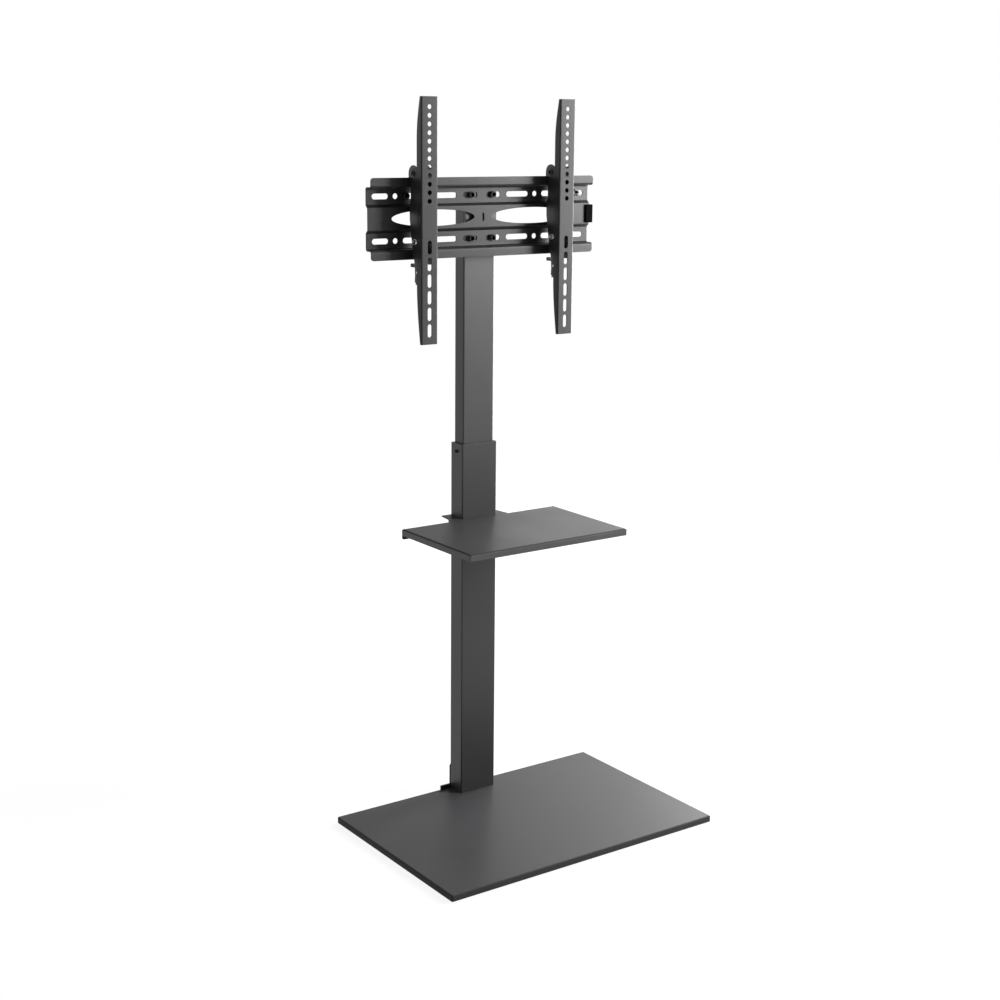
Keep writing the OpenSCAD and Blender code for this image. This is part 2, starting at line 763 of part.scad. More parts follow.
// Folded latch: a back plate with a catch behind the lip, a finger tail and two slotted ears
module latch() {
    slot_top = latch_pin_r + slide_gap;
    ear_low = latch_pin_z - latch_travel - latch_pin_r - 3;
    color([0.15, 0.15, 0.16]) {
        difference() {
            union() {
                along_x(-latch_half, latch_right) {
                    translate([latch_back_y - latch_t, ear_low])
                        square([latch_t, latch_tab_z - ear_low]);
                    translate([latch_back_y - latch_t, latch_tab_z - latch_t])
                        square([catch_y + 2 * latch_t - latch_back_y, latch_t]);
                    translate([catch_y, latch_tab_z - latch_t]) square([latch_t, latch_catch]);
                    polygon([
                        [latch_back_y - latch_t, ear_low], [latch_back_y, ear_low],
                        [latch_back_y + 5.5, ear_low - 4.5], [latch_back_y + 4, ear_low - 6]
                    ]);
                }
                for (x = [-latch_half, latch_right - latch_t])
                    along_x(x, x + latch_t)
                        translate([latch_pin_y - latch_pin_r - 2, ear_low])
                            square([latch_back_y - latch_pin_y + latch_pin_r + 2, latch_tab_z - ear_low]);
            }
            // Slots that let the latch rise on its pin
            along_x(-latch_half - over, latch_right + over)
                translate([latch_pin_y, latch_pin_z - latch_travel / 2])
                    rotate(90) slot2d(latch_travel + 2 * slot_top, 2 * slot_top);
        }
    }
}

// Arms, drawn about x = 0

// Outline of an arm's side in Y and Z, and the lobes that carry the pivot and the lock bolt
module arm_side2d() {
    back = arm_y + arm_depth;
    tip = arm_y + arm_tip;
    depth = arm_depth - arm_tip;
    polygon(concat(
        [[arm_y, arm_low], [arm_y, arm_top], [tip, arm_top]],
        [for (i = [1:6]) [tip + depth * sin(15 * i), arm_top - taper_top * i / 6]],
        [for (i = [6:-1:1]) [tip + depth * sin(15 * i), arm_low + taper_bottom * i / 6]],
        [[tip, arm_low]]
    ));
}
module lobe(y, z, r) {
    translate([0, y, z]) rod_x(r, -arm_w, arm_w);
    along_x(-arm_w, arm_w) polygon([
        [arm_y + 2, z - r - 8], [y + r * 0.4, z - r * 0.8],
        [y + r * 0.4, z + r * 0.8], [arm_y + 2, z + r + 8]
    ]);
}

module arm() {
    deep = 60;
    color([0.2, 0.2, 0.21]) difference() {
        intersection() {
            translate([0, arm_y, arm_low - over]) linear_extrude(arm_len + 2 * over) difference() {
                translate([0, deep / 2]) rounded_rect(arm_w, deep, arm_bend);
                translate([0, arm_t + deep / 2])
                    rounded_rect(arm_w - 2 * arm_t, deep, arm_bend - arm_t);
            }
            union() {
                along_x(-arm_w, arm_w) arm_side2d();
                lobe(pivot_y, pivot_z, 9);
                lobe(lock_y, lock_z, 8);
            }
        }
        for (i = [0:hole_count - 1])
            translate([0, 0, arm_top - hole_first - i * hole_pitch])
                rod_y(hole_dia / 2, arm_y - over, arm_y + arm_t + over);
        for (i = [0:slot_count - 1])
            translate([0, 0, arm_low + slot_last + i * slot_pitch])
                along_y(arm_y - over, arm_y + arm_t + over) rotate(90) slot2d(slot_len, hole_dia);
        translate([0, pivot_y, pivot_z]) rod_x(big_r + pivot_gap, -arm_w, arm_w);
        translate([0, lock_y, lock_z]) rod_x(small_r + bolt_gap, -arm_w, arm_w);
    }
}

// A cross bolt through both flanges, head on the left
module cross_bolt(r, head_r, head) {
    x1 = arm_w / 2;
    rod_x(r, -x1, x1 + 2 * r * 0.8 + 1);
    difference() {
        rod_x(head_r, -x1 - head, -x1);
        translate([-x1 - head - over, 0, 0]) rotate([0, 90, 0]) hex(r * 1.3, head * 0.6 + over);
    }
}
module cross_nut(r) {
    x1 = arm_w / 2;
    difference() {
        translate([x1, 0, 0]) rotate([0, 90, 0]) hex(r * 3.25, 2 * r * 0.8);
        rod_x(r + bolt_gap, x1 - over, x1 + 2 * r);
    }
}
module pivot_bolt() {
    color([0.6, 0.6, 0.6]) translate([0, pivot_y, pivot_z]) cross_bolt(big_r, big_r + 1.2, big_head * 0.6);
}
module pivot_nut() { color([0.6, 0.6, 0.6]) translate([0, pivot_y, pivot_z]) cross_nut(big_r); }
module lock_bolt() {
    color([0.1, 0.1, 0.1]) translate([0, lock_y, lock_z]) cross_bolt(small_r, small_head_r, small_head);
}
module lock_nut() { color([0.1, 0.1, 0.1]) translate([0, lock_y, lock_z]) cross_nut(small_r); }

// Shelf

// The tray's top with the tongue that passes round the column
module tray2d() {
    mid_y = (shelf_front + shelf_rear) / 2;
    difference() {
        union() {
            translate([0, mid_y]) rounded_rect(shelf_w, shelf_d, shelf_corner);
            for (s = [-1, 1]) translate([s * (shelf_w / 4), shelf_rear - shelf_corner])
                square([shelf_w / 2, 2 * shelf_corner], center = true);
            polygon([
                [-tongue_w / 2, shelf_rear - over], [-tongue_w / 2, shelf_rear],
                [-tongue_w / 2 + tongue_taper, col_back + tongue_rim],
                [tongue_w / 2 - tongue_taper, col_back + tongue_rim],
                [tongue_w / 2, shelf_rear], [tongue_w / 2, shelf_rear - over]
            ]);
        }
        // Square the rear corners off at the shelf's rear edge
        for (s = [-1, 1]) translate([s * (tongue_w / 4 + shelf_w / 4 + 50), shelf_rear + 50])
            square([shelf_w / 2 - tongue_w / 2 + 100, 100], center = true);
        translate([0, col_y]) rounded_rect(col_w + 2 * slide_gap, col_d + 2 * slide_gap, col_r + slide_gap);
    }
}

module shelf_tray() {
    mid_y = (shelf_front + shelf_rear) / 2;
    t = shelf_sheet;
    color([0.18, 0.18, 0.19]) {
        translate([0, 0, shelf_under]) linear_extrude(t) tray2d();
        // Front and side lips
        translate([0, 0, shelf_z - shelf_lip]) linear_extrude(shelf_lip - t) difference() {
            translate([0, mid_y]) rounded_rect(shelf_w, shelf_d, shelf_corner);
            translate([0, mid_y]) rounded_rect(shelf_w - 2 * t, shelf_d - 2 * t, shelf_corner - t);
            translate([0, shelf_rear]) square([shelf_w + over, 2 * shelf_corner], center = true);
        }
        for (s = [-1, 1]) translate([s * (shelf_w / 2 - t / 2), shelf_rear - shelf_corner / 2, shelf_z - shelf_lip])
            translate([-t / 2, -shelf_corner / 2, 0]) cube([t, shelf_corner, shelf_lip - t]);
        // Rear lip with its return, left and right of the tongue
        for (s = [0, 1]) mirror([s, 0, 0]) along_x(tongue_w / 2 + 2, shelf_w / 2) {
            translate([shelf_rear - t, shelf_z - rear_lip]) square([t, rear_lip - t]);
            translate([shelf_rear - lip_return, shelf_z - rear_lip]) square([lip_return, t]);
        }
    }
}

// Studs welded under the tray, and their nuts
module shelf_studs() {
    color([0.4, 0.4, 0.4]) at_shelf_studs() rod_z(small_r, shelf_under - clamp_t - small_bolt - 2, shelf_under);
}
module shelf_nuts() {
    z1 = shelf_under - clamp_t;
    color([0.4, 0.4, 0.4]) at_shelf_studs() difference() {
        translate([0, 0, z1 - small_bolt * 0.8]) hex(small_bolt * 1.6, small_bolt * 0.8);
        rod_z(small_r + bolt_gap, z1 - small_bolt, z1 + over);
    }
}

// Front half: a plate against the column, a support under the tray and two gussets
module clamp_front() {
    y0 = clamp_y - clamp_t;
    z1 = shelf_under;
    color([0.15, 0.15, 0.16]) difference() {
        union() {
            translate([-clamp_w / 2, y0, clamp_low]) cube([clamp_w, clamp_t, clamp_h]);
            translate([-clamp_w / 2, clamp_y - clamp_reach, z1 - clamp_t]) cube([clamp_w, clamp_reach, clamp_t]);
            for (s = [0, 1]) mirror([s, 0, 0]) along_x(clamp_w * 0.2, clamp_w * 0.2 + clamp_t)
                polygon([
                    [y0 + over, clamp_low + 4], [y0 + over, z1 - clamp_t / 2],
                    [clamp_y - clamp_reach + 8, z1 - clamp_t / 2], [clamp_y - clamp_reach + 8, z1 - clamp_t - 5]
                ]);
        }
        at_clamp_bolts() rod_y(small_r + bolt_gap, y0 - over, clamp_y + over);
        at_shelf_studs() rod_z(small_r + bolt_gap, z1 - clamp_t - over, z1 + over);
    }
}

// Rear half: a channel round the column with an ear on each side
module clamp_rear() {
    x1 = col_w / 2 + slide_gap;
    y2 = col_back + slide_gap + clamp_t;
    gap = 1;
    color([0.15, 0.15, 0.16]) difference() {
        translate([0, 0, clamp_low]) linear_extrude(clamp_h) {
            translate([-x1 - clamp_t, y2 - clamp_t]) square([2 * (x1 + clamp_t), clamp_t]);
            for (s = [0, 1]) mirror([s, 0]) {
                translate([x1, clamp_y + gap]) square([clamp_t, y2 - clamp_y - gap]);
                translate([x1, clamp_y + gap]) square([clamp_w / 2 - x1, clamp_t]);
            }
        }
        at_clamp_bolts() rod_y(small_r + bolt_gap, clamp_y, clamp_y + gap + clamp_t + over);
    }
}

module clamp_bolts() {
    y0 = clamp_y - clamp_t;
    y1 = clamp_y + 1 + clamp_t + small_bolt * 0.8 + 2;
    color([0.1, 0.1, 0.1]) at_clamp_bolts() {
        rod_y(small_head_r, y0 - small_head, y0);
        rod_y(small_r, y0, y1);
    }
}
module clamp_nuts() {
    y1 = clamp_y + 1 + clamp_t;
    color([0.4, 0.4, 0.4]) at_clamp_bolts() difference() {
        translate([0, y1, 0]) rotate([-90, 0, 0]) hex(small_bolt * 1.6, small_bolt * 0.8);
        rod_y(small_r + bolt_gap, y1 - over, y1 + small_bolt);
    }
}

// Pieces of the left and right arm sets
module on_left() { translate([-left_arm_x, 0, 0]) children(); }
module on_right() { translate([right_arm_x, 0, 0]) children(); }

base_cover();
ballast_plate();
floor_pads();
foot_plate();
column_bolts();
foot_brace();
brace_screws();
column_tube();
guide_bush();
height_screws();
mast_tube();
glide_shoe();
mast_cap();
head_plate();
head_nuts();
rail_plate();
plate_bolts();
plate_washers();
level_block();
slot_screw();
slot_nut();
shelf_tray();
shelf_studs();
shelf_nuts();
clamp_front();
clamp_rear();
clamp_bolts();
clamp_nuts();
on_left() tilt_bracket();  // left_tilt_bracket
on_right() tilt_bracket();  // right_tilt_bracket
on_left() rest_pad();  // left_rest_pad
on_right() rest_pad();  // right_rest_pad
on_left() latch_pin();  // left_latch_pin
on_right() latch_pin();  // right_latch_pin
on_left() latch();  // left_latch
on_right() latch();  // right_latch
on_left() arm();  // left_arm
on_right() arm();  // right_arm
on_left() pivot_bolt();  // left_pivot_bolt
on_right() pivot_bolt();  // right_pivot_bolt
on_left() pivot_nut();  // left_pivot_nut
on_right() pivot_nut();  // right_pivot_nut
on_left() lock_bolt();  // left_lock_bolt
on_right() lock_bolt();  // right_lock_bolt
on_left() lock_nut();  // left_lock_nut
on_right() lock_nut();  // right_lock_nut
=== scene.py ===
import math
import bmesh
import bpy
from mathutils import Matrix, Vector


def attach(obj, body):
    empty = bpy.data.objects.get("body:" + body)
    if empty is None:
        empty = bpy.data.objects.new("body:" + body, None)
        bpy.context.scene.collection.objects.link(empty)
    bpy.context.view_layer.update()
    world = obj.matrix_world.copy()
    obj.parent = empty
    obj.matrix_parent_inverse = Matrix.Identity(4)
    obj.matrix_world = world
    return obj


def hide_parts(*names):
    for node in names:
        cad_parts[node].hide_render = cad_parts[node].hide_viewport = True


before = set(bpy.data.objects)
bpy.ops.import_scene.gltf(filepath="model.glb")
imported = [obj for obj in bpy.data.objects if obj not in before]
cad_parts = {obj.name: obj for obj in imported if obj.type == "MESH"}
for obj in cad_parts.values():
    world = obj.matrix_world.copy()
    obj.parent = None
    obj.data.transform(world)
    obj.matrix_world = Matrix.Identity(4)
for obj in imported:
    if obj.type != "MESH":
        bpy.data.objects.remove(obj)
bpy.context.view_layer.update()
scene = bpy.context.scene
scene.view_settings.view_transform = "Standard"


# ---------------------------------------------------------------- camera
# The camera stands to the left of the stand's front, at about the height of the rail
# plate, and looks a little down. The lens is a short telephoto.
heading, dip, lean = (math.radians(a) for a in (35.293, 11.467, 0.483))
ahead = Vector((math.sin(heading) * math.cos(dip), math.cos(heading) * math.cos(dip),
                -math.sin(dip)))
level = Vector((math.cos(heading), -math.sin(heading), 0))
above = level.cross(ahead)
right = level * math.cos(lean) + above * math.sin(lean)
up = above * math.cos(lean) - level * math.sin(lean)
camera = bpy.data.objects.new("camera", bpy.data.cameras.new("camera"))
camera.data.sensor_fit = "HORIZONTAL"
camera.data.sensor_width = 36
camera.data.lens = 58.669
camera.data.shift_y = -0.0403
camera.matrix_world = Matrix.Translation((-1.744368, -2.372122, 1.3117)) @ Matrix(
    (right, up, -ahead)).transposed().to_4x4()
scene.collection.objects.link(camera)
scene.camera = camera


# ---------------------------------------------------------------- studio
# A white floor without a horizon and eight soft lamps: three tall ones to the right of the
# front, four lower ones on the right and behind it, and a weak one from behind.
def add(tree, kind, inputs=None, **settings):
    """A node with its settings. An input is a value, or the nodes or sockets that feed it."""
    made = tree.nodes.new(kind if "Node" in kind else tree.bl_idname.removesuffix("Tree") + kind)
    for key, value in settings.items():
        setattr(made, key, value)
    for key, values in (inputs or {}).items():
        for value in values if isinstance(values, list) else [values]:
            if isinstance(value, bpy.types.Node):
                value = value.outputs[0]
            if isinstance(value, bpy.types.NodeSocket):
                tree.links.new(value, made.inputs[key])
            else:
                made.inputs[key].default_value = value
    return made


def calc(tree, operation, a, b=0.0, c=0.0):
    return add(tree, "ShaderNodeMath", {0: a, 1: b, 2: c}, operation=operation)


def seen_directly(tree):
    """1 for rays that come from the camera, a gloss or glass."""
    path = add(tree, "LightPath").outputs
    either = calc(tree, "MAXIMUM", path["Is Camera Ray"], path["Is Glossy Ray"])
    return calc(tree, "MAXIMUM", either, path["Is Transmission Ray"])


def blank(name):
    """A material without nodes, its tree, and the place on the piece for its patterns."""
    material = bpy.data.materials.new(name)
    material.use_nodes = True
    tree = material.node_tree
    tree.nodes.clear()
    return material, tree, add(tree, "TexCoord").outputs["Object"]


studio = bpy.data.worlds.new("studio")
studio.use_nodes = True
tree = studio.node_tree
tree.nodes.clear()
dim, white = (add(tree, "Background", {"Color": (1, 1, 1, 1), "Strength": level})
              for level in (0.1, 1.0))
both = add(tree, "MixShader", {0: seen_directly(tree), 1: dim, 2: white})
add(tree, "OutputWorld", {"Surface": both})
scene.world = studio

paper, tree, where = blank("floor_paper")
reach = add(tree, "VectorMath", {0: where}, operation="LENGTH").outputs["Value"]
grown = add(tree, "MapRange", {"Value": reach, "From Min": 0.6, "From Max": 2.6,
                               "To Min": 0.9, "To Max": 1.0}, interpolation_type="SMOOTHSTEP")
lit, veil = (add(tree, "BsdfDiffuse", {"Color": (tone, tone, tone, 1)}) for tone in (0.4, 0.12))
glow = add(tree, "Emission", {"Color": (1, 1, 1, 1), "Strength": grown})
shown = add(tree, "AddShader", {0: veil, 1: glow})
either = add(tree, "MixShader", {0: seen_directly(tree), 1: lit, 2: shown})
add(tree, "OutputMaterial", {"Surface": either})
far, sunk = 40, -0.0003
floor_mesh = bpy.data.meshes.new("floor")
floor_mesh.from_pydata([(-far, -far, sunk), (far, -far, sunk), (far, far, sunk),
                        (-far, far, sunk)], [], [(0, 1, 2, 3)])
floor_mesh.materials.append(paper)
floor = bpy.data.objects.new("floor", floor_mesh)
scene.collection.objects.link(floor)

for name, place, aim, size, power in (
    ("near_strip", (1.5, -1.3, 1.5), (0, 0.1, 1.05), (0.45, 1.2), 45),
    ("far_strip", (2.0, -1.1, 1.5), (0, 0.1, 1.0), (0.5, 1.2), 45),
    ("inner_strip", (1.2, -1.1, 1.35), (0, 0.1, 1.05), (0.4, 1.2), 8),
    ("right_lamp", (2.0, 0.4, 1.0), (0.1, 0, 0.1), (0.7, 0.7), 45),
    ("low_lamp", (2.6, 0.6, 0.5), (0.2, 0, 0.1), (1.0, 0.6), 45),
    ("corner_lamp", (2.7, 1.8, 1.2), (0.1, 0, 0.1), (1.0, 1.4), 45),
    ("rear_lamp", (2.3, 2.3, 1.4), (0.1, 0, 0.1), (1.2, 1.2), 14),
    ("back_lamp", (-1.2, 3.2, 1.9), (0, 0, 0.8), (1.4, 1.4), 15),
):
    lamp = bpy.data.objects.new(name, bpy.data.lights.new(name, "AREA"))
    lamp.data.shape = "RECTANGLE"
    lamp.data.size, lamp.data.size_y = size
    lamp.data.energy = power
    lamp.location = place
    lamp.rotation_euler = (Vector(aim) - Vector(place)).to_track_quat("-Z", "Y").to_euler()
    scene.collection.objects.link(lamp)


# ---------------------------------------------------------------- base cover
# A thin pan of folded steel sheet, its edges turned down and its corners welded and
# ground, powder coated in satin black. It lies over the ballast plate.
mm = 0.001


def rounded(w, d, r, z, y=0.0, n=6):
    """One ring of a rectangle with round corners, in millimetres."""
    ring = []
    for cx, cy, start in ((1, 1, 0), (-1, 1, 90), (-1, -1, 180), (1, -1, 270)):
        for i in range(n + 1):
            a = math.radians(start + 90 * i / n)
            ring.append((cx * (w / 2 - r) + r * math.cos(a),
                         y + cy * (d / 2 - r) + r * math.sin(a), z))
    return ring


def solid(name, points, faces):
    """A closed mesh from points in millimetres, with its faces turned outwards."""
    bm = bmesh.new()
    made = [bm.verts.new((x * mm, y * mm, z * mm)) for x, y, z in points]
    for face in faces:
        bm.faces.new([made[i] for i in face])
    bmesh.ops.remove_doubles(bm, verts=bm.verts, dist=1e-7)
    bmesh.ops.recalc_face_normals(bm, faces=bm.faces)
    mesh = bpy.data.meshes.new(name)
    bm.to_mesh(mesh)
    bm.free()
    piece = bpy.data.objects.new(name, mesh)
    scene.collection.objects.link(piece)
    return piece


def lofted(name, rings, capped):
    """Rings joined by strips: capped at both ends, or closed into a loop like a tube's wall."""
    n, rows = len(rings[0]), len(rings)
    faces = []
    for i in range(rows - 1 if capped else rows):
        j = (i + 1) % rows
        faces += [(i * n + k, i * n + (k + 1) % n, j * n + (k + 1) % n, j * n + k)
                  for k in range(n)]
    if capped:
        faces += [tuple(range(n)), tuple((rows - 1) * n + k for k in range(n))]
    return solid(name, [p for ring in rings for p in ring], faces)


def as_plain_mesh(piece, sharp=None):
    """The piece's modifiers are worked into its mesh and removed."""
    graph = bpy.context.evaluated_depsgraph_get()
    mesh = bpy.data.meshes.new_from_object(piece.evaluated_get(graph), depsgraph=graph)
    mesh.name = piece.name
    piece.modifiers.clear()
    piece.data = mesh
    mesh.shade_smooth()
    if sharp:
        mesh.set_sharp_from_angle(angle=math.radians(sharp))
    return piece


def eased(piece, width, steps=2, angle=32):
    """Breaks the sharp edges by a small round and keeps the flat faces flat to the light."""
    piece.data.shade_smooth()
    if width:
        edge = piece.modifiers.new("edge", "BEVEL")
        edge.width = width * mm
        edge.segments = steps
        edge.limit_method = "ANGLE"
        edge.angle_limit = math.radians(angle)
        edge.use_clamp_overlap = False
    even = piece.modifiers.new("even", "WEIGHTED_NORMAL")
    even.weight = 60
    return as_plain_mesh(piece)


def dressed(piece, finish, body, *nodes, slot=None):
    """Gives the piece its finish, whose slot has the same name, and its CAD nodes."""
    piece.data.materials.clear()
    piece.data.materials.append(finish)
    for face in piece.data.polygons:
        face.material_index = 0
    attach(piece, body)
    if nodes:
        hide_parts(*nodes)


def named_inputs(tree, inputs):
    """A tree's inputs: a number gives both kind and value, a word only the kind."""
    for label, value in inputs.items():
        kind = value if isinstance(value, str) else type(value).__name__.title()
        socket = tree.interface.new_socket(
            name=label, in_out="INPUT", socket_type="NodeSocket" + kind)
        if kind != value:
            socket.default_value = value
    return add(tree, "NodeGroupInput").outputs


def effect(name, inputs):
    """A shader group that puts out clouds of tone, roughness and height."""
    tree = bpy.data.node_groups.new(name, "ShaderNodeTree")
    given = named_inputs(tree, {"Vector": "Vector", **inputs})
    for label in ("Cloud", "Roughness", "Height"):
        tree.interface.new_socket(name=label, in_out="OUTPUT", socket_type="NodeSocketFloat")
    return tree, given


def times(tree, a, b, plus=0.0):
    return calc(tree, "MULTIPLY_ADD", a, b, plus)


def between(tree, share, dark, light):
    """A colour between two others."""
    return add(tree, "Mix", {"Factor": share, 6: (*dark, 1), 7: (*light, 1)},
               data_type="RGBA").outputs[2]


def closed(material, inputs):
    """Ends a material with its one shader."""
    shader = add(material.node_tree, "BsdfPrincipled", inputs)
    add(material.node_tree, "OutputMaterial", {"Surface": shader})
    return material


# Powder coat: soft orange peel, a fine grit and broad clouds of tone
coat, given = effect("powder_coat", {
    "Peel Scale": 620.0, "Grit Scale": 2300.0, "Cloud Scale": 7.0,
    "Rough Low": 0.36, "Rough High": 0.48})
peel, grit, cloud = (
    add(coat, "TexNoise", {"Vector": given["Vector"], "Scale": given[scale], "Detail": detail})
    for scale, detail in (("Peel Scale", 2.0), ("Grit Scale", 1.0), ("Cloud Scale", 3.0)))
drift = times(coat, cloud, 0.6, times(coat, peel, 0.4))
rough = add(coat, "MapRange", {
    "Value": drift, "From Min": 0.3, "From Max": 0.7,
    "To Min": given["Rough Low"], "To Max": given["Rough High"]})
add(coat, "NodeGroupOutput", {
    "Cloud": cloud, "Roughness": rough, "Height": times(coat, grit, 0.3, peel)})


# Every part wears the same black powder coat, but each part's copy gets its own dark and light
# tones: lighter for a part that is more lit, darker for one more in shade. This is painted light
# and shade.
def paint(name, dark, light, ior, rough=(0.34, 0.44), relief=0.05, seed=0.0):
    """Satin powder coat over steel sheet; a lower ior is a coat with less gloss."""
    material, tree, where = blank(name)
    moved = add(tree, "Mapping", {
        "Vector": where, "Location": (seed, seed * 0.7, seed * 0.3)})
    grain = add(tree, "Group", {"Vector": moved, "Rough Low": rough[0], "Rough High": rough[1]},
                node_tree=coat).outputs
    bumps = add(tree, "Bump", {
        "Height": grain["Height"], "Strength": relief, "Distance": 0.0002})
    return closed(material, {
        "Base Color": between(tree, grain["Cloud"], dark, light), "IOR": ior,
        "Roughness": grain["Roughness"], "Normal": bumps})


base_w, base_d, base_edge, base_sheet, base_corner, rim_lift = 600, 400, 12, 1.5, 3, 1.5
base_fold, base_burr, base_inset = 2.4, 0.4, 12
base_top = rim_lift + base_edge
# The base's coat tones are set lighter than the column's coat of the same black paint: painted
# light.
base_paint = paint("base_paint", (0.038, 0.038, 0.040), (0.053, 0.053, 0.055), 1.14,
                   rough=(0.33, 0.43))

under = base_top - base_sheet
profile = [(base_inset, under), (base_sheet + 1, under), (base_sheet + 0.3, under - 0.3),
           (base_sheet, under - 1), (base_sheet, rim_lift + base_burr),
           (base_sheet - base_burr, rim_lift), (base_burr, rim_lift), (0, rim_lift + base_burr)]
for degrees in range(0, 91, 15):
    a = math.radians(degrees)
    profile.append((base_fold * (1 - math.cos(a)), base_top - base_fold * (1 - math.sin(a))))
rings = [rounded(base_w - 2 * inset, base_d - 2 * inset, max(base_corner - inset, 0.25), z)
         for inset, z in profile]
dressed(eased(lofted("base_pan", rings, capped=True), 0), base_paint, "stand", "base_cover")


# ---------------------------------------------------------------- ballast plate
# A plain plate of hot-rolled steel, cut to fit inside the cover, with counterbores for the
# column bolts. It is only seen from below.
def cad_copy(node, name, body, finish, width, steps=2, slot=None):
    """A merged copy of a CAD node with its edges eased, which stands for the node."""
    piece = bpy.data.objects.new(name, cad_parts[node].data.copy())
    scene.collection.objects.link(piece)
    bm = bmesh.new()
    bm.from_mesh(piece.data)
    bmesh.ops.remove_doubles(bm, verts=bm.verts, dist=2e-6)
    bmesh.ops.dissolve_limit(bm, angle_limit=math.radians(0.8), verts=bm.verts, edges=bm.edges)
    bmesh.ops.recalc_face_normals(bm, faces=bm.faces)
    bm.to_mesh(piece.data)
    bm.free()
    dressed(eased(piece, width, steps), finish, body, node, slot=slot)


raw_steel, tree, where = blank("raw_steel")
scale_patch = add(tree, "TexNoise", {
    "Vector": where, "Scale": 26.0, "Detail": 6.0, "Roughness": 0.65})
rolled = add(tree, "Mapping", {"Vector": where, "Scale": (6.0, 320.0, 320.0)})
streak = add(tree, "TexNoise", {"Vector": rolled, "Scale": 1.0, "Detail": 3.0})
tint = add(tree, "ValToRGB", {"Fac": scale_patch})
for stop, at, colour in zip(tint.color_ramp.elements, (0.38, 0.66),
                            ((0.075, 0.08, 0.09, 1), (0.17, 0.16, 0.15, 1))):
    stop.position, stop.color = at, colour
dull = add(tree, "MapRange", {"Value": streak, "To Min": 0.42, "To Max": 0.7})
dent = add(tree, "Bump", {"Height": streak, "Strength": 0.12, "Distance": 0.0003})
closed(raw_steel, {"Base Color": tint, "Metallic": 0.75, "Roughness": dull, "Normal": dent})
cad_copy("ballast_plate", "ballast", "stand", raw_steel, 0.6)


# ---------------------------------------------------------------- floor pads
# Seven moulded rubber pads, glued under the ballast plate, with round ribs that grip the
# floor.
def geometry_tree(name, inputs):
    """An empty Geometry Nodes tree with named inputs."""
    tree = bpy.data.node_groups.new(name, "GeometryNodeTree")
    tree.interface.new_socket(
        name="Geometry", in_out="OUTPUT", socket_type="NodeSocketGeometry")
    return tree, named_inputs(tree, {"Geometry": "Geometry", **inputs})


def set_down(tree, geometry, z):
    """Moves a shape along Z inside a tree."""
    at = add(tree, "ShaderNodeCombineXYZ", {"Z": z})
    return add(tree, "Transform", {"Geometry": geometry, "Translation": at})


def placed(tree, given, shape):
    """Ends a tree: the shape at every point, turned as the point says, as plain mesh."""
    turn = add(tree, "InputNamedAttribute", {"Name": "turn"}, data_type="FLOAT_VECTOR")
    way = add(tree, "FunctionNodeEulerToRotation", {0: turn})
    copies = add(tree, "InstanceOnPoints", {
        "Points": given["Geometry"], "Instance": shape, "Rotation": way})
    real = add(tree, "RealizeInstances", {0: copies})
    done = add(tree, "SetMaterial", {"Geometry": real, "Material": given["Material"]})
    add(tree, "NodeGroupOutput", {"Geometry": done})
    return tree


def ruled(piece, tree, values):
    """Hangs a tree on the piece as a modifier, with the values of its inputs."""
    rule = piece.modifiers.new("rule", "NODES")
    rule.node_group = tree
    sockets = {s.name: s.identifier for s in tree.interface.items_tree if s.in_out == "INPUT"}
    for label, value in values.items():
        rule[sockets[label.replace("_", " ")]] = value


def repeated(name, tree, places, sharp=34, **sizes):
    """Points in millimetres with their turns in degrees, worked by a tree into a plain mesh."""
    mesh = bpy.data.meshes.new(name)
    mesh.from_pydata([tuple(c * mm for c in place) for place, turn in places], [], [])
    turns = mesh.attributes.new("turn", "FLOAT_VECTOR", "POINT")
    for i, (place, turn) in enumerate(places):
        turns.data[i].vector = [math.radians(a) for a in turn]
    piece = bpy.data.objects.new(name, mesh)
    scene.collection.objects.link(piece)
    ruled(piece, tree, sizes)
    return as_plain_mesh(piece, sharp)


rubber, tree, where = blank("rubber")
speck = add(tree, "TexVoronoi", {"Vector": where, "Scale": 1500.0})
bloom = add(tree, "TexNoise", {"Vector": where, "Scale": 90.0, "Detail": 4.0})
chalk = add(tree, "MapRange", {"Value": bloom, "To Min": 0.68, "To Max": 0.9})
pitted = add(tree, "Bump", {"Height": speck, "Strength": 0.2, "Distance": 0.0002})
closed(rubber, {"Base Color": between(tree, bloom, (0.012, 0.012, 0.012), (0.032, 0.031, 0.03)),
                "Roughness": chalk, "Normal": pitted})

tree, given = geometry_tree("ribbed_pad", {
    "Pad Diameter": 0.03, "Pad Height": 0.004, "Ribs": 5, "Rib Radius": 0.0007,
    "Material": "Material"})
rib = given["Rib Radius"]
radius = times(tree, given["Pad Diameter"], 0.5)
disc = add(tree, "MeshCone", {
    "Vertices": 64, "Radius Top": radius, "Radius Bottom": times(tree, radius, 0.93),
    "Depth": calc(tree, "SUBTRACT", given["Pad Height"], rib)})
disc = set_down(tree, disc, rib)
share = calc(tree, "DIVIDE", calc(tree, "ADD", add(tree, "InputIndex"), 1.0),
             calc(tree, "ADD", given["Ribs"], 0.6))
row = add(tree, "MeshLine", {"Count": given["Ribs"], "Offset": (0, 0, 0)})
circle = add(tree, "CurvePrimitiveCircle", {"Resolution": 48, "Radius": radius})
widths = add(tree, "ShaderNodeCombineXYZ", {"X": share, "Y": share, "Z": 1.0})
rings = add(tree, "InstanceOnPoints", {"Points": row, "Instance": circle, "Scale": widths})
rings = add(tree, "RealizeInstances", {0: rings})
bead = add(tree, "CurvePrimitiveCircle", {"Resolution": 8, "Radius": rib})
ribs = add(tree, "CurveToMesh", {"Curve": rings, "Profile Curve": bead})
ribs = set_down(tree, ribs, rib)
pad_rule = placed(tree, given, add(tree, "JoinGeometry", {0: [disc, ribs]}))

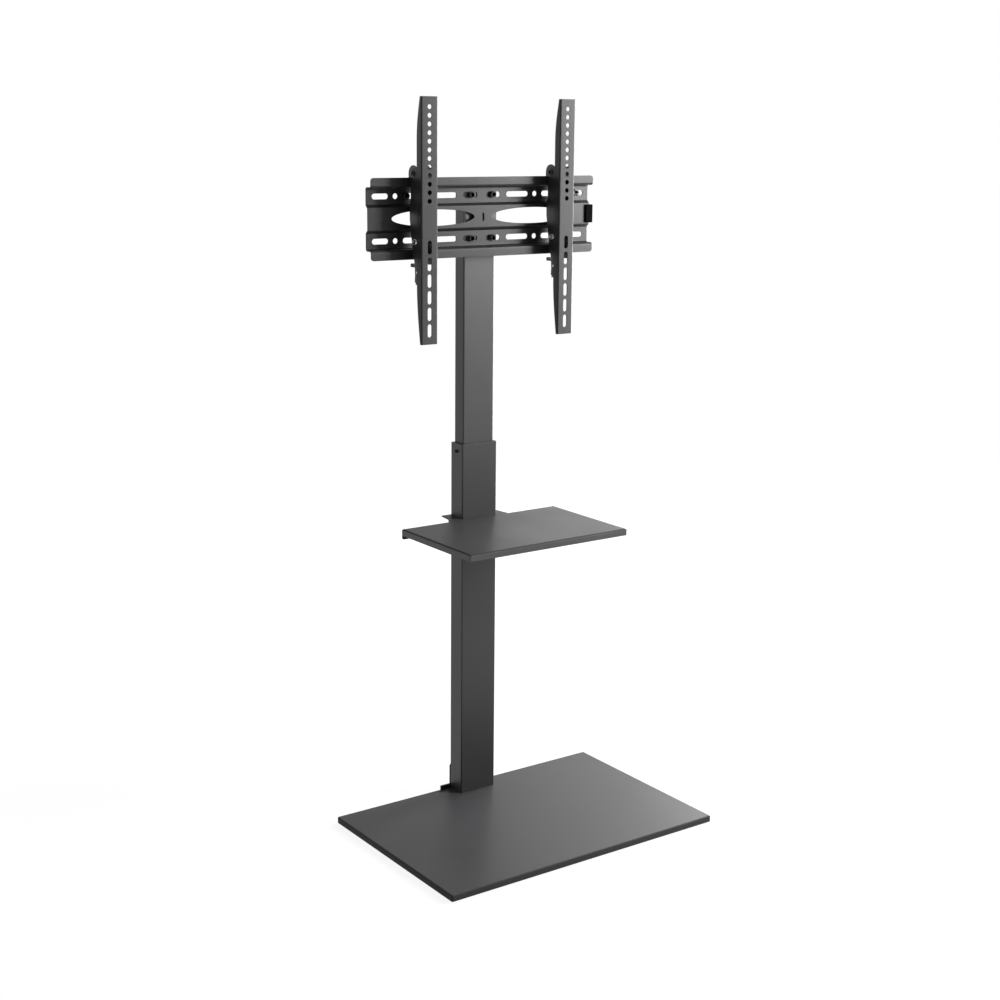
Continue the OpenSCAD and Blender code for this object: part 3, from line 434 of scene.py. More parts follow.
pad_x, pad_y = 268, 168
spots = [(-pad_x, -pad_y), (0, -pad_y), (pad_x, -pad_y), (-pad_x, pad_y), (pad_x, pad_y), (0, 0),
         (0, 128)]
pads = repeated("grip_pads", pad_rule, [((x, y, 0), (0, 0, 0)) for x, y in spots],
                Pad_Diameter=0.03, Pad_Height=0.004, Material=rubber)
dressed(pads, rubber, "stand", "floor_pads")


# ---------------------------------------------------------------- column tube
# A welded rectangular steel tube, 80 x 40 mm, cut square and powder coated. It stands on
# the rear edge of the base, and the mast slides in it.
tube_wall, tube_corner, burr = 2, 2.5, 0.4
col_w, col_d, col_y, col_len = 80, 40, 180, 707
col_back, col_top = col_y + col_d / 2, base_top + col_len


def tube(name, w, d, z0, z1):
    """A length of tube whose cut ends have their burrs taken off."""
    rings = []
    for inset, z in ((0, z0 + burr), (0, z1 - burr), (burr * 0.3, z1 - burr * 0.3), (burr, z1),
                     (tube_wall - burr, z1), (tube_wall - burr * 0.3, z1 - burr * 0.3),
                     (tube_wall, z1 - burr), (tube_wall, z0 + burr), (tube_wall - burr, z0),
                     (burr, z0)):
        rings.append(rounded(w - 2 * inset, d - 2 * inset, tube_corner - inset, z, col_y, n=8))
    return eased(lofted(name, rings, capped=False), 0)


# The column's coat tones are set darker than the base's, the shelf's and the arms' coat of the
# same black paint: painted shade.
column_paint = paint("column_paint", (0.018, 0.018, 0.019), (0.025, 0.025, 0.026), 1.44, seed=1.3)
dressed(tube("column", col_w, col_d, base_top, col_top), column_paint, "stand", "column_tube")


# ---------------------------------------------------------------- foot plate and bolts
# A thick threaded plate is welded into the column's foot. Four low-headed socket bolts
# come up through the ballast and the cover and draw the column down.
cad_copy("foot_plate", "threaded_foot", "stand", raw_steel, 0.4)

# Metal finishes: small scratches along one way and clouds in the plating
plating, given = effect("plated_steel", {
    "Scratch Scale": 900.0, "Cloud Scale": 160.0, "Rough Low": 0.25, "Rough High": 0.45})
drawn = add(plating, "Mapping", {"Vector": given["Vector"], "Scale": (1.0, 0.12, 1.0)})
scratch = add(plating, "TexNoise", {
    "Vector": drawn, "Scale": given["Scratch Scale"], "Detail": 3.0})
cloud = add(plating, "TexNoise", {
    "Vector": given["Vector"], "Scale": given["Cloud Scale"], "Detail": 2.0})
rough = add(plating, "MapRange", {
    "Value": scratch, "From Min": 0.3, "From Max": 0.7,
    "To Min": given["Rough Low"], "To Max": given["Rough High"]})
add(plating, "NodeGroupOutput", {"Cloud": cloud, "Roughness": rough, "Height": scratch})


def metal(name, dark, light, metallic, rough):
    """Screws and nuts, black oxide or zinc plated."""
    material, tree, where = blank(name)
    grain = add(tree, "Group", {"Vector": where, "Rough Low": rough[0], "Rough High": rough[1]},
                node_tree=plating).outputs
    bumps = add(tree, "Bump", {"Height": grain["Height"], "Strength": 0.08, "Distance": 0.0001})
    return closed(material, {
        "Base Color": between(tree, grain["Cloud"], dark, light), "Metallic": metallic,
        "Roughness": grain["Roughness"], "Normal": bumps})


black_steel = metal("black_steel", (0.014, 0.014, 0.015), (0.03, 0.03, 0.032), 0.35, (0.26, 0.42))
zinc_steel = metal("zinc_steel", (0.42, 0.43, 0.45), (0.58, 0.58, 0.56), 1.0, (0.24, 0.4))

# One rule for all bolts: the head lies under z = 0 and the shank rises from it. Head Sides
# is 6 for a hexagon and many for a round head. The end of the shank is threaded.
tree, given = geometry_tree("bolt", {
    "Shank Radius": 0.004, "Shank Length": 0.02, "Thread Length": 0.01, "Thread Pitch": 0.00125,
    "Head Radius": 0.0065, "Head Height": 0.005, "Head Sides": 6, "Crown": 0.9, "Slope": 1.7,
    "Recess Radius": 0.0, "Recess Depth": 0.0, "Cross Recess": False, "Material": "Material"})
head_high, shank_r, shank_long = (
    given[label] for label in ("Head Height", "Shank Radius", "Shank Length"))
threaded, pitch = given["Thread Length"], given["Thread Pitch"]
prism = add(tree, "MeshCylinder", {
    "Vertices": given["Head Sides"], "Radius": given["Head Radius"], "Depth": head_high})
prism = set_down(tree, prism, times(tree, head_high, -0.5))
tip_radius = times(tree, given["Head Radius"], given["Crown"])
turned = add(tree, "MeshCone", {
    "Vertices": 48, "Radius Top": times(tree, head_high, given["Slope"], tip_radius),
    "Radius Bottom": tip_radius, "Depth": head_high})
turned = set_down(tree, turned, times(tree, head_high, -1.0))
head = add(tree, "MeshBoolean", {1: [prism, turned]}, operation="INTERSECT")
key_radius = calc(tree, "MAXIMUM", given["Recess Radius"], 0.0001)
key_depth = times(tree, calc(tree, "MAXIMUM", given["Recess Depth"], 0.0001), 2.0)
hexagon = add(tree, "MeshCylinder", {"Vertices": 6, "Radius": key_radius, "Depth": key_depth})
blade_size = add(tree, "ShaderNodeCombineXYZ", {
    "X": times(tree, key_radius, 2.0), "Y": times(tree, key_radius, 0.42), "Z": key_depth})
blade = add(tree, "MeshCube", {"Size": blade_size})
other = add(tree, "Transform", {"Geometry": blade, "Rotation": (0, 0, math.radians(90))})
cross = add(tree, "MeshBoolean", {1: [blade, other]}, operation="UNION")
key = add(tree, "Switch", {"Switch": given["Cross Recess"], "False": hexagon, "True": cross},
          input_type="GEOMETRY")
key = set_down(tree, key, times(tree, head_high, -1.0))
head = add(tree, "MeshBoolean", {0: head, 1: key}, operation="DIFFERENCE")
plain = calc(tree, "MAXIMUM", calc(tree, "SUBTRACT", shank_long, threaded), 0.0002)
neck = add(tree, "MeshCylinder", {"Vertices": 32, "Radius": shank_r, "Depth": plain})
neck = set_down(tree, neck, times(tree, plain, 0.5))
root = times(tree, pitch, -0.55, shank_r)
core = add(tree, "MeshCylinder", {"Vertices": 32, "Radius": root, "Depth": shank_long})
core = set_down(tree, core, times(tree, shank_long, 0.5))
run = calc(tree, "SUBTRACT", threaded, times(tree, pitch, 0.9))
spiral = add(tree, "CurveSpiral", {
    "Resolution": 24, "Rotations": calc(tree, "DIVIDE", run, pitch),
    "Start Radius": root, "End Radius": root, "Height": run})
ridge = add(tree, "CurvePrimitiveCircle", {"Resolution": 4, "Radius": times(tree, pitch, 0.52)})
thread = add(tree, "CurveToMesh", {"Curve": spiral, "Profile Curve": ridge, "Fill Caps": True})
thread = set_down(tree, thread, times(tree, pitch, 0.4, plain))
bolt_rule = placed(tree, given, add(tree, "JoinGeometry", {0: [head, neck, core, thread]}))

m5 = dict(Shank_Radius=0.0025, Thread_Pitch=0.0008, Head_Radius=0.00475, Head_Height=0.0025,
          Head_Sides=40)
m8 = dict(Shank_Radius=0.004, Head_Radius=0.0065, Head_Height=0.00528, Head_Sides=48)


def bolts(name, places, finish, body, node, size, length, threaded, crown, slope, recess=(0, 0),
          **other):
    """Bolts of one size at their places; lengths and the recess are in millimetres."""
    shape = {**size, "Shank_Length": length * mm, "Thread_Length": threaded * mm,
             "Crown": crown, "Slope": slope, "Recess_Radius": recess[0] * mm,
             "Recess_Depth": recess[1] * mm, "Material": finish, **other}
    dressed(repeated(name, bolt_rule, places, **shape), finish, body, node)


foot_x, foot_y, foot_seat, foot_grip = 24, 7.5, 9.58, 8
bolts("column_fixing_bolts", [((x, col_y + y, foot_seat), (0, 0, 0))
                              for x in (-foot_x, foot_x) for y in (-foot_y, foot_y)],
      black_steel, "stand", "column_bolts", m8, base_top + foot_grip - foot_seat, 9, 0.94, 0.9,
      (2.8, 3))


# ---------------------------------------------------------------- foot brace
# A flat steel plate behind the column's foot and the base's rear edge. Two pan-head screws
# hold it to the column and two to the ballast plate.
cad_copy("foot_brace", "rear_brace", "stand", column_paint, 0.45, slot="bracket_paint")
brace_t = 3
for name, x, z, length in (("brace_column_screws", 24, 50.5, 8),
                           ("brace_base_screws", 51.44, 8, 17)):
    bolts(name, [((side * x, col_back + brace_t, z), (90, 0, 0)) for side in (-1, 1)],
          black_steel, "stand", "brace_screws", m5, length, length - 3, 0.72, 0.75, (2.4, 1.4),
          Cross_Recess=True)


# ---------------------------------------------------------------- guide bush and height screws
# A nylon liner sits just below the column's rim and takes up the play of the mast. Two
# socket screws press through the column's sides and hold the height.
def plastic(name, dark, light, rough, grain_scale, relief, ior=1.5):
    """Moulded plastic with a fine spark-eroded grain."""
    material, tree, where = blank(name)
    grain = add(tree, "TexVoronoi", {"Vector": where, "Scale": grain_scale}, feature="SMOOTH_F1")
    flow = add(tree, "TexNoise", {"Vector": where, "Scale": 45.0, "Detail": 2.0})
    sheen = add(tree, "MapRange", {"Value": flow, "From Min": 0.3, "From Max": 0.7,
                                   "To Min": rough[0], "To Max": rough[1]})
    bumps = add(tree, "Bump", {"Height": grain, "Strength": relief, "Distance": 0.0001})
    return closed(material, {"Base Color": between(tree, flow, dark, light), "IOR": ior,
                             "Roughness": sheen, "Normal": bumps})


black_plastic = plastic("black_plastic", (0.011, 0.011, 0.012), (0.02, 0.02, 0.021),
                        (0.42, 0.55), 2400.0, 0.25)
cad_copy("guide_bush", "nylon_bush", "stand", black_plastic, 0.3)
rim_gap = 15
bolts("height_set_screws", [((side * col_w / 2, col_y, col_top - rim_gap), (0, -90 * side, 0))
                            for side in (-1, 1)],
      black_steel, "stand", "height_screws", m5, 4.7, 3, 0.86, 0.6, (1.6, 1.7),
      Head_Radius=0.0033)


# ---------------------------------------------------------------- mast
# The sliding tube, 70 x 30 mm, with a nylon shoe at its foot and a plastic cap on top. A
# head plate is welded to its front, and stitches of weld run down both joints.
mast_w, mast_d, mast_top, mast_low, mount_z = 70, 30, 1218, 518, 1152
mast_front = col_y - mast_d / 2
# The mast's coat tones are set lighter than the column's and darker than the arms' coat of the
# same black paint: painted light and shade.
mast_paint = paint("mast_paint", (0.025, 0.025, 0.026), (0.034, 0.034, 0.036), 1.41, seed=3.4)
dressed(tube("mast", mast_w, mast_d, mast_low, mast_top), mast_paint, "mast", "mast_tube")
cad_copy("glide_shoe", "nylon_shoe", "mast", black_plastic, 0.6)
cad_copy("mast_cap", "top_cap", "mast", black_plastic, 0.7, steps=3)
cad_copy("head_plate", "welded_head", "mast", mast_paint, 0.6)

tree, given = geometry_tree("weld_run", {
    "Run Length": 0.03, "Ripple": 0.0013, "Bead Radius": 0.0022, "Material": "Material"})
steps = add(tree, "FunctionNodeFloatToInt", {
    0: calc(tree, "DIVIDE", given["Run Length"], given["Ripple"])})
pitch = add(tree, "ShaderNodeCombineXYZ", {"Z": given["Ripple"]})
line = add(tree, "MeshLine", {"Count": steps, "Offset": pitch})
drop = add(tree, "MeshUVSphere", {"Segments": 12, "Rings": 8, "Radius": given["Bead Radius"]})
drops = add(tree, "InstanceOnPoints", {"Points": line, "Instance": drop, "Scale": (1, 1, 0.7)})
weld_rule = placed(tree, given, drops)
weld_x, weld_z = 33.2, (1098, 1137, 1176)
welds = repeated("head_welds", weld_rule, [((side * weld_x, mast_front + 0.6, z), (0, 0, 0))
                                           for side in (-1, 1) for z in weld_z],
                 sharp=60, Run_Length=0.03, Bead_Radius=0.0018, Material=mast_paint)
dressed(welds, mast_paint, "mast")


# ---------------------------------------------------------------- rail plate
# One sheet of 2 mm steel, punched and folded: a raised middle band, two outer bands and
# two lips that the arms hook on. Rows of slots and round holes and two oval windows.
tree, given = geometry_tree("punched_rows", {
    "First": "Vector", "Step": "Vector", "Count": 1, "Row Step": "Vector", "Rows": 1,
    "Turn": "Vector", "Hole Length": 0.01, "Hole Width": 0.01, "Depth": 0.02, "Oval": False})
long, wide = given["Hole Length"], given["Hole Width"]
sides = add(tree, "CurvePrimitiveQuadrilateral", {"Width": long, "Height": wide})
fillet = add(tree, "FilletCurve", {
    "Curve": sides, "Radius": times(tree, wide, 0.4995), "Limit Radius": True, "Count": 9},
    mode="POLY")
ellipse = add(tree, "CurvePrimitiveCircle", {"Resolution": 72, "Radius": 0.5})
size = add(tree, "ShaderNodeCombineXYZ", {"X": long, "Y": wide, "Z": 1.0})
ellipse = add(tree, "Transform", {"Geometry": ellipse, "Scale": size})
shape = add(tree, "Switch", {"Switch": given["Oval"], "False": fillet, "True": ellipse},
            input_type="GEOMETRY")
face = add(tree, "FillCurve", {"Curve": shape}, mode="NGONS")
tall = add(tree, "ExtrudeMesh", {
    "Mesh": face, "Offset Scale": given["Depth"], "Individual": False})
punch = add(tree, "JoinGeometry", {0: [tall, add(tree, "FlipFaces", {0: face})]})
punch = add(tree, "MergeByDistance", {"Geometry": punch, "Distance": 1e-7})
punch = set_down(tree, punch, times(tree, given["Depth"], -0.5))
punch = add(tree, "Transform", {"Geometry": punch, "Rotation": given["Turn"]})
line = add(tree, "MeshLine", {
    "Count": given["Count"], "Start Location": given["First"], "Offset": given["Step"]})
row = add(tree, "InstanceOnPoints", {"Points": line, "Instance": punch})
line = add(tree, "MeshLine", {"Count": given["Rows"], "Offset": given["Row Step"]})
rows = add(tree, "InstanceOnPoints", {"Points": line, "Instance": row})
punches = add(tree, "RealizeInstances", {0: rows})
cut = add(tree, "MeshBoolean", {0: given["Geometry"], 1: punches},
          operation="DIFFERENCE", solver="EXACT")
add(tree, "NodeGroupOutput", {"Geometry": cut})
punch_rule = tree


def punched(piece, first, length, width, turn=(90, 0, 0), step=(0, 0, 0), count=1,
            row_step=(0, 0, 0), rows=1, depth=20, oval=False):
    """Punches rows of holes, given in millimetres and degrees."""
    ruled(piece, punch_rule, {
        "First": [c * mm for c in first], "Step": [c * mm for c in step], "Count": count,
        "Row Step": [c * mm for c in row_step], "Rows": rows,
        "Turn": [math.radians(a) for a in turn], "Hole Length": length * mm,
        "Hole Width": width * mm, "Depth": depth * mm, "Oval": oval})


def bend_line(corners, radii, steps=6):
    """A line through corners that are rounded by radii: its points and its left normals."""
    points, normals = [], []

    def put(p, direction):
        points.append(p)
        normals.append((-direction[1], direction[0]))

    ways = []
    for a, b in zip(corners, corners[1:]):
        length = math.hypot(b[0] - a[0], b[1] - a[1])
        ways.append(((b[0] - a[0]) / length, (b[1] - a[1]) / length))
    put(corners[0], ways[0])
    for corner, radius, way_in, way_out in zip(corners[1:-1], radii, ways, ways[1:]):
        turn = math.atan2(way_in[0] * way_out[1] - way_in[1] * way_out[0],
                          way_in[0] * way_out[0] + way_in[1] * way_out[1])
        back = radius * math.tan(abs(turn) / 2)
        side = 1 if turn > 0 else -1
        centre = (corner[0] - way_in[0] * back - side * way_in[1] * radius,
                  corner[1] - way_in[1] * back + side * way_in[0] * radius)
        start = math.atan2(way_in[1], way_in[0])
        for i in range(steps + 1):
            a = start + turn * i / steps
            way = (math.cos(a), math.sin(a))
            put((centre[0] + side * way[1] * radius, centre[1] - side * way[0] * radius), way)
    put(corners[-1], ways[-1])
    return points, normals


def folded(name, stations, section, thickness, in_space):
    """Bent sheet: at each station, section gives the middle line of the sheet."""
    points, faces, n = [], [], None
    for station in stations:
        line, normals = section(station)
        n = len(line)
        near, far = [[(p[0] + s * q[0], p[1] + s * q[1]) for p, q in zip(line, normals)]
                     for s in (-thickness / 2, thickness / 2)]
        points += [in_space(station, *p) for p in near + far[::-1]]
    for i in range(len(stations) - 1):
        a, b = i * 2 * n, (i + 1) * 2 * n
        faces += [(a + k, a + (k + 1) % (2 * n), b + (k + 1) % (2 * n), b + k)
                  for k in range(2 * n)]
    for a in (0, (len(stations) - 1) * 2 * n):
        faces += [(a + k, a + k + 1, a + 2 * n - 2 - k, a + 2 * n - 1 - k)
                  for k in range(n - 1)]
    return solid(name, points, faces)


plate_w, plate_h, plate_t, band_y, band_rise = 500, 146.6, 2, 158, 5.5
lip_y, lip_h, lip_corner = 141, 18.4, 6
row_z, slot_w = 40, 10.2


def rail_section(x):
    """The middle line of the sheet; near the ends the lips' corners are round."""
    beyond = max(abs(x) - (plate_w / 2 - lip_corner), 0)
    tip = plate_h / 2 - lip_corner + math.sqrt(max(lip_corner ** 2 - beyond ** 2, 0))
    web = plate_h / 2 - lip_h + plate_t / 2
    lip, band, middle = (y + plate_t / 2 for y in (lip_y, band_y, band_y - band_rise))
    half = [(lip, tip), (lip, web), (band, web), (band, 25), (middle, 20)]
    whole = half + [(y, -z) for y, z in half[::-1]]
    line, normals = bend_line(whole, [4, 4, 2.4, 2.4, 2.4, 2.4, 4, 4])
    return [(y, mount_z + z) for y, z in line], normals


ends = [plate_w / 2 - lip_corner * (1 - math.sin(math.radians(a))) for a in range(0, 91, 15)]
stations = [-x for x in ends[::-1]] + ends
rail = folded("rail_sheet", stations, rail_section, plate_t, lambda x, y, z: (x, y, z))
for middle, length in ((25.8, 31.5), (81.2, 50.5), (122, slot_w), (155.5, 35), (189, slot_w),
                       (221, 34)):
    punched(rail, (-middle, band_y + 1, mount_z - row_z), length, slot_w,
            step=(2 * middle, 0, 0), count=2, row_step=(0, 0, 2 * row_z), rows=2)
punched(rail, (-110, band_y - 4, mount_z), 180, 30, step=(220, 0, 0), count=2, oval=True)
punched(rail, (0, band_y - 4, mount_z - 1), 4, 15, depth=14)
# The rail plate's coat tones are the darkest of all the copies of the one black paint: painted
# shade.
rail_paint = paint("rail_paint", (0.017, 0.017, 0.018), (0.024, 0.024, 0.025), 1.33, seed=4.2)
dressed(eased(rail, 0.3, angle=50), rail_paint, "mast", "rail_plate")


# ---------------------------------------------------------------- plate bolts
# Four hexagon bolts with washers hold the rail plate to the head plate, with nuts inside
# the mast. They are black oxide, the nuts are zinc plated.
tree, given = geometry_tree("nut_or_washer", {
    "Sides": 6, "Outer Radius": 0.0075, "Bore": 0.004, "Thickness": 0.006, "Crown": 0.9,
    "Slope": 1.7, "Material": "Material"})
thick = given["Thickness"]
block = add(tree, "MeshCylinder", {
    "Vertices": given["Sides"], "Radius": given["Outer Radius"], "Depth": thick})
block = set_down(tree, block, times(tree, thick, 0.5))
face_r = times(tree, given["Outer Radius"], given["Crown"])
spread = times(tree, thick, given["Slope"], face_r)
cones = [add(tree, "MeshCone", {
    "Vertices": 48, "Radius Bottom": low, "Radius Top": high, "Depth": thick})
    for low, high in ((face_r, spread), (spread, face_r))]
block = add(tree, "MeshBoolean", {1: [block, *cones]}, operation="INTERSECT")
bore = add(tree, "MeshCylinder", {
    "Vertices": 36, "Radius": given["Bore"], "Depth": times(tree, thick, 4.0)})
ring_rule = placed(tree, given, add(
    tree, "MeshBoolean", {0: block, 1: bore}, operation="DIFFERENCE"))


def corner_r(flats):
    """The corner radius of a hexagon in metres, from its width over flats."""
    return flats / 2 / math.cos(math.radians(30)) * mm


def nuts(name, places, body, node, thread_r, flats, high, crown):
    """Zinc plated hexagon nuts, sizes in millimetres."""
    made = repeated(name, ring_rule, places, Sides=6, Outer_Radius=corner_r(flats),
                    Bore=(thread_r + 0.1) * mm, Thickness=high * mm, Crown=crown,
                    Material=zinc_steel)
    dressed(made, zinc_steel, body, node)


def facing(spots, y):
    """Places at x and z on one plane, for bolts that point to the back."""
    return [((x, y, z), (-90, 0, 0)) for x, z in spots]


plate_flats, washer_t = 9.75, 1.6
spots = [(x, z) for x in (-24, 24) for z in (mount_z - row_z, mount_z + row_z)]
bolts("plate_hex_bolts", facing(spots, band_y - washer_t), black_steel, "mast", "plate_bolts",
      dict(Shank_Radius=0.003, Thread_Pitch=0.001, Head_Radius=corner_r(plate_flats),
           Head_Height=0.00396, Head_Sides=6), 16.3, 11, 0.82, 1.7, (1.8, 0.5))
washers = repeated("plate_bolt_washers", ring_rule, facing(spots, band_y - washer_t), Sides=44,
                   Outer_Radius=0.0066, Bore=0.0031, Thickness=washer_t * mm, Crown=0.96,
                   Slope=0.6, Material=black_steel)
dressed(washers, black_steel, "mast", "plate_washers")
nuts("head_hex_nuts", facing(spots, mast_front + tube_wall), "mast", "head_nuts", 3,
     plate_flats, 4.8, 0.85)


# ---------------------------------------------------------------- level block
# A small moulded block, clipped over the right end of the middle band. Its face is smooth
# and very dark.
level_plastic = plastic("level_plastic", (0.002, 0.002, 0.002), (0.004, 0.004, 0.004),
                        (0.3, 0.4), 900.0, 0.04, ior=1.04)
cad_copy("level_block", "level_housing", "mast", level_plastic, 0.6, steps=3)


# ---------------------------------------------------------------- kept screws
# Two spare cross-head screws are kept in slots of the upper row, with their nuts behind.
# The screws are black oxide, the nuts zinc plated.
spots = [(x, mount_z + row_z) for x in (-167.9, 219)]
bolts("kept_screw", facing(spots, band_y), black_steel, "mast", "slot_screw", m8, 10.4, 9, 0.7,
      0.6, (3.6, 2.4), Cross_Recess=True)
nuts("kept_screw_nut", facing(spots, band_y + plate_t), "mast", "slot_nut", 4, 13, 6.4, 0.85)


# ---------------------------------------------------------------- shelf
# A tray of 1.5 mm sheet: front and side lips folded down and met at a mitre, a deeper rear
# lip that curls in, and a tongue that passes round the column.
shelf_w, shelf_z, shelf_sheet, shelf_front, shelf_rear = 356, 575, 1.5, -72, 157
side_lip, rear_lip, rear_return, fold, curl = 13, 19, 6, 3.0, 2.5
tongue_w, tongue_end, tongue_out = 130, 114, 208
half_w, arc, bend = shelf_w / 2, fold * math.pi / 2, curl * math.pi / 2
fx, fy, ry = half_w - fold, shelf_front + fold, shelf_rear - fold


def down(s, lip, curled=False):
    """A point s millimetres past the fold line: how far out and how far down it comes."""
    if s <= arc:
        return fold * math.sin(s / fold), fold * (1 - math.cos(s / fold))
    drop = s - arc
    straight = lip - fold - curl
    if not curled or drop <= straight:
        return fold, fold + drop
    turn = drop - straight
    if turn <= bend:
        a = turn / curl
        return fold - curl * (1 - math.cos(a)), fold + straight + curl * math.sin(a)
    return fold - curl - (turn - bend), lip


def fold_down(x, y):
    """A point of the flat pattern on the finished tray."""
    if y < fy and fy - y >= abs(x) - fx:
        out, drop = down(fy - y, side_lip)
        return x, fy - out, shelf_z - drop
    if y > ry and abs(x) > tongue_w / 2:
        out, drop = down(y - ry, rear_lip, curled=True)
        return x, ry + out, shelf_z - drop
    if abs(x) > fx and y < ry - 0.2:
        out, drop = down(abs(x) - fx, side_lip)
        return math.copysign(fx + out, x), y, shelf_z - drop
    return x, y, shelf_z


lip_run = arc + side_lip - fold
rear_run = arc + (rear_lip - fold - curl) + bend + rear_return - curl
tongue_x, seam_y = tongue_w / 2, fy - fold + shelf_sheet + 0.3
mitre = [(s, fold * math.sin(s / fold)) for s in [arc * i / 5 for i in range(1, 6)]]
half = [(0, fy - lip_run), (half_w - 1.2, fy - lip_run), (half_w - 0.35, fy - lip_run + 0.35),
        (half_w, fy - lip_run + 1.2)]
half += [(fx + out, fy - s) for s, out in mitre[::-1]] + [(fx, fy)]
half += [(fx + s, fy - out) for s, out in mitre[:-1]]
half += [(fx + arc, seam_y), (fx + lip_run, seam_y), (fx + lip_run, ry - 0.6), (fx, ry - 0.6),
         (fx, ry)]
half += [(fx + out, ry + s) for s, out in mitre]
half += [(half_w, ry + rear_run), (tongue_x + 2, ry + rear_run), (tongue_x + 2, ry + 0.3),
         (tongue_x, ry + 0.3), (tongue_x, shelf_rear), (tongue_end / 2 + 1, tongue_out - 2),
         (tongue_end / 2 - 2, tongue_out), (0, tongue_out)]
outline = half + [(-x, y) for x, y in half[-2:0:-1]]
hole = [(x, y) for x, y, z in rounded(col_w + 0.6, col_d + 0.6, 2.8, 0, col_y)]
bm = bmesh.new()
for loop in (outline, hole):
    made = [bm.verts.new((x, y, 0)) for x, y in loop]
    for a, b in zip(made, made[1:] + made[:1]):
        bm.edges.new((a, b))
bmesh.ops.triangle_fill(bm, edges=bm.edges, use_beauty=True)
turns = [arc * i / 5 for i in range(6)]
lines = [(0, 1, fy - s) for s in turns] + [(0, 1, ry + s) for s in turns]
lines += [(0, 1, ry + arc + rear_lip - fold - curl + bend * i / 4) for i in range(5)]
lines += [(side, 0, side * (fx + s)) for side in (-1, 1) for s in turns]
for nx, ny, at in lines:
    bmesh.ops.bisect_plane(bm, geom=bm.verts[:] + bm.edges[:] + bm.faces[:], dist=1e-5,
                           plane_co=(at, 0, 0) if nx else (0, at, 0), plane_no=(nx, ny, 0))
for vert in bm.verts:
    vert.co = Vector(fold_down(vert.co.x, vert.co.y)) * mm
bmesh.ops.recalc_face_normals(bm, faces=bm.faces)
if max(bm.faces, key=lambda f: f.calc_area()).normal.z < 0:
    bmesh.ops.reverse_faces(bm, faces=bm.faces)
mesh = bpy.data.meshes.new("shelf_sheet")
bm.to_mesh(mesh)
bm.free()
shelf = bpy.data.objects.new("shelf_sheet", mesh)
scene.collection.objects.link(shelf)
wall = shelf.modifiers.new("wall", "SOLIDIFY")
wall.thickness = shelf_sheet * mm
wall.offset = -1
wall.use_even_offset = True

# The tray's coat tones are set lighter than the column's coat of the same black paint: painted
# light.
# The lips' coat shines more than the top's
shelf_paint, lip_paint = (
    paint(name, (0.040, 0.040, 0.042), (0.056, 0.056, 0.058), ior, seed=5.5)
    for name, ior in (("shelf_paint", 1.1), ("lip_paint", 1.42)))
dressed(eased(shelf, 0.3, angle=60), shelf_paint, "shelf", "shelf_tray")
shelf.data.materials.append(lip_paint)
for face in shelf.data.polygons:
    if abs(face.normal.z) < 0.3:
        face.material_index = 1


# ---------------------------------------------------------------- shelf clamp
# Two halves of thicker steel grip the column: the front one carries the tray on a gusseted
# support, four bolts pull the rear one to it, and four welded studs hold the tray.
# The clamp's and brackets' coat tones are set lighter than the column's and darker than the arms'
# coat of the same black paint: painted light and shade.
bracket_paint = paint("bracket_paint", (0.026, 0.026, 0.028), (0.038, 0.038, 0.040), 1.35,
                      rough=(0.38, 0.5), relief=0.07, seed=2.1)
cad_copy("clamp_front", "clamp_support", "shelf", bracket_paint, 0.45)
cad_copy("clamp_rear", "clamp_channel", "shelf", bracket_paint, 0.45)
spots = [(x, z) for x in (-51.15, 51.15) for z in (531.74, 560.74)]
bolts("clamp_socket_bolts", facing(spots, 156.7), black_steel, "shelf", "clamp_bolts", m5, 13, 9,
      0.86, 0.8, (1.75, 1.4))
nuts("clamp_hex_nuts", facing(spots, 163.7), "shelf", "clamp_nuts", 2.5, 8, 4, 0.87)
studs, seats = ([((x, y, z), (180, 0, 0)) for x in (-42.48, 42.48) for y in (135.5, 66.2)]
                for z in (573.5, 570.5))
bolts("tray_studs", studs, zinc_steel, "shelf", "shelf_studs", m5, 10, 8.5, 0.95, 0.8,
      Head_Radius=0.0025, Head_Height=0.0006)
nuts("tray_hex_nuts", seats, "shelf", "shelf_nuts", 2.5, 8, 4, 0.87)


# ---------------------------------------------------------------- arms, brackets and latches
# Each arm is a channel of 2 mm sheet with a row of round holes and a row of slots, its
# flanges tapered to the ends. Behind it a folded bracket hooks over the upper lip, and a
# sprung latch on a pin catches the lower one.
arm_len, arm_w, arm_y, arm_depth, arm_tip, arm_t, arm_bend = 440, 34.5, 100, 16.5, 6, 2, 1.5
arm_top = mount_z + 215.5
arm_low = arm_top - arm_len
pivot_y, pivot_z, pivot_lobe, lock_y, lock_z, lock_lobe = 121, 1112, 9, 129, 1233, 8
taper_top, taper_bottom, lobe_run = 75, 112, 8
hole_w, hole_step, slot_long, slot_step = 8.5, 15, 24, 30
# The arms' coat tones are the lightest of all the copies of the one black paint: painted light.
arm_paint = paint("arm_paint", (0.046, 0.046, 0.048), (0.066, 0.066, 0.069), 1.22,
                  rough=(0.33, 0.43), seed=6.1)


def flange_depth(z):
    """How deep the flanges are at a height: tapered ends and two lobes for the bolts."""
    deep = arm_depth
    for left, taper in ((arm_top - z, taper_top), (z - arm_low, taper_bottom)):
        if left < taper:
            deep = min(deep, arm_tip + (arm_depth - arm_tip)
                       * math.sin(math.pi / 2 * max(left, 0) / taper))
    for y, height, r in ((pivot_y - arm_y, pivot_z, pivot_lobe),
                         (lock_y - arm_y, lock_z, lock_lobe)):
        off = abs(z - height)
        if off < r:
            deep = max(deep, y + math.sqrt(r * r - off * off))
        reach, inner, outer = y + r * 0.4, r * 0.8, r + lobe_run
        if inner <= off < outer:
            deep = max(deep, 2 + (reach - 2) * (outer - off) / (outer - inner))
    return deep


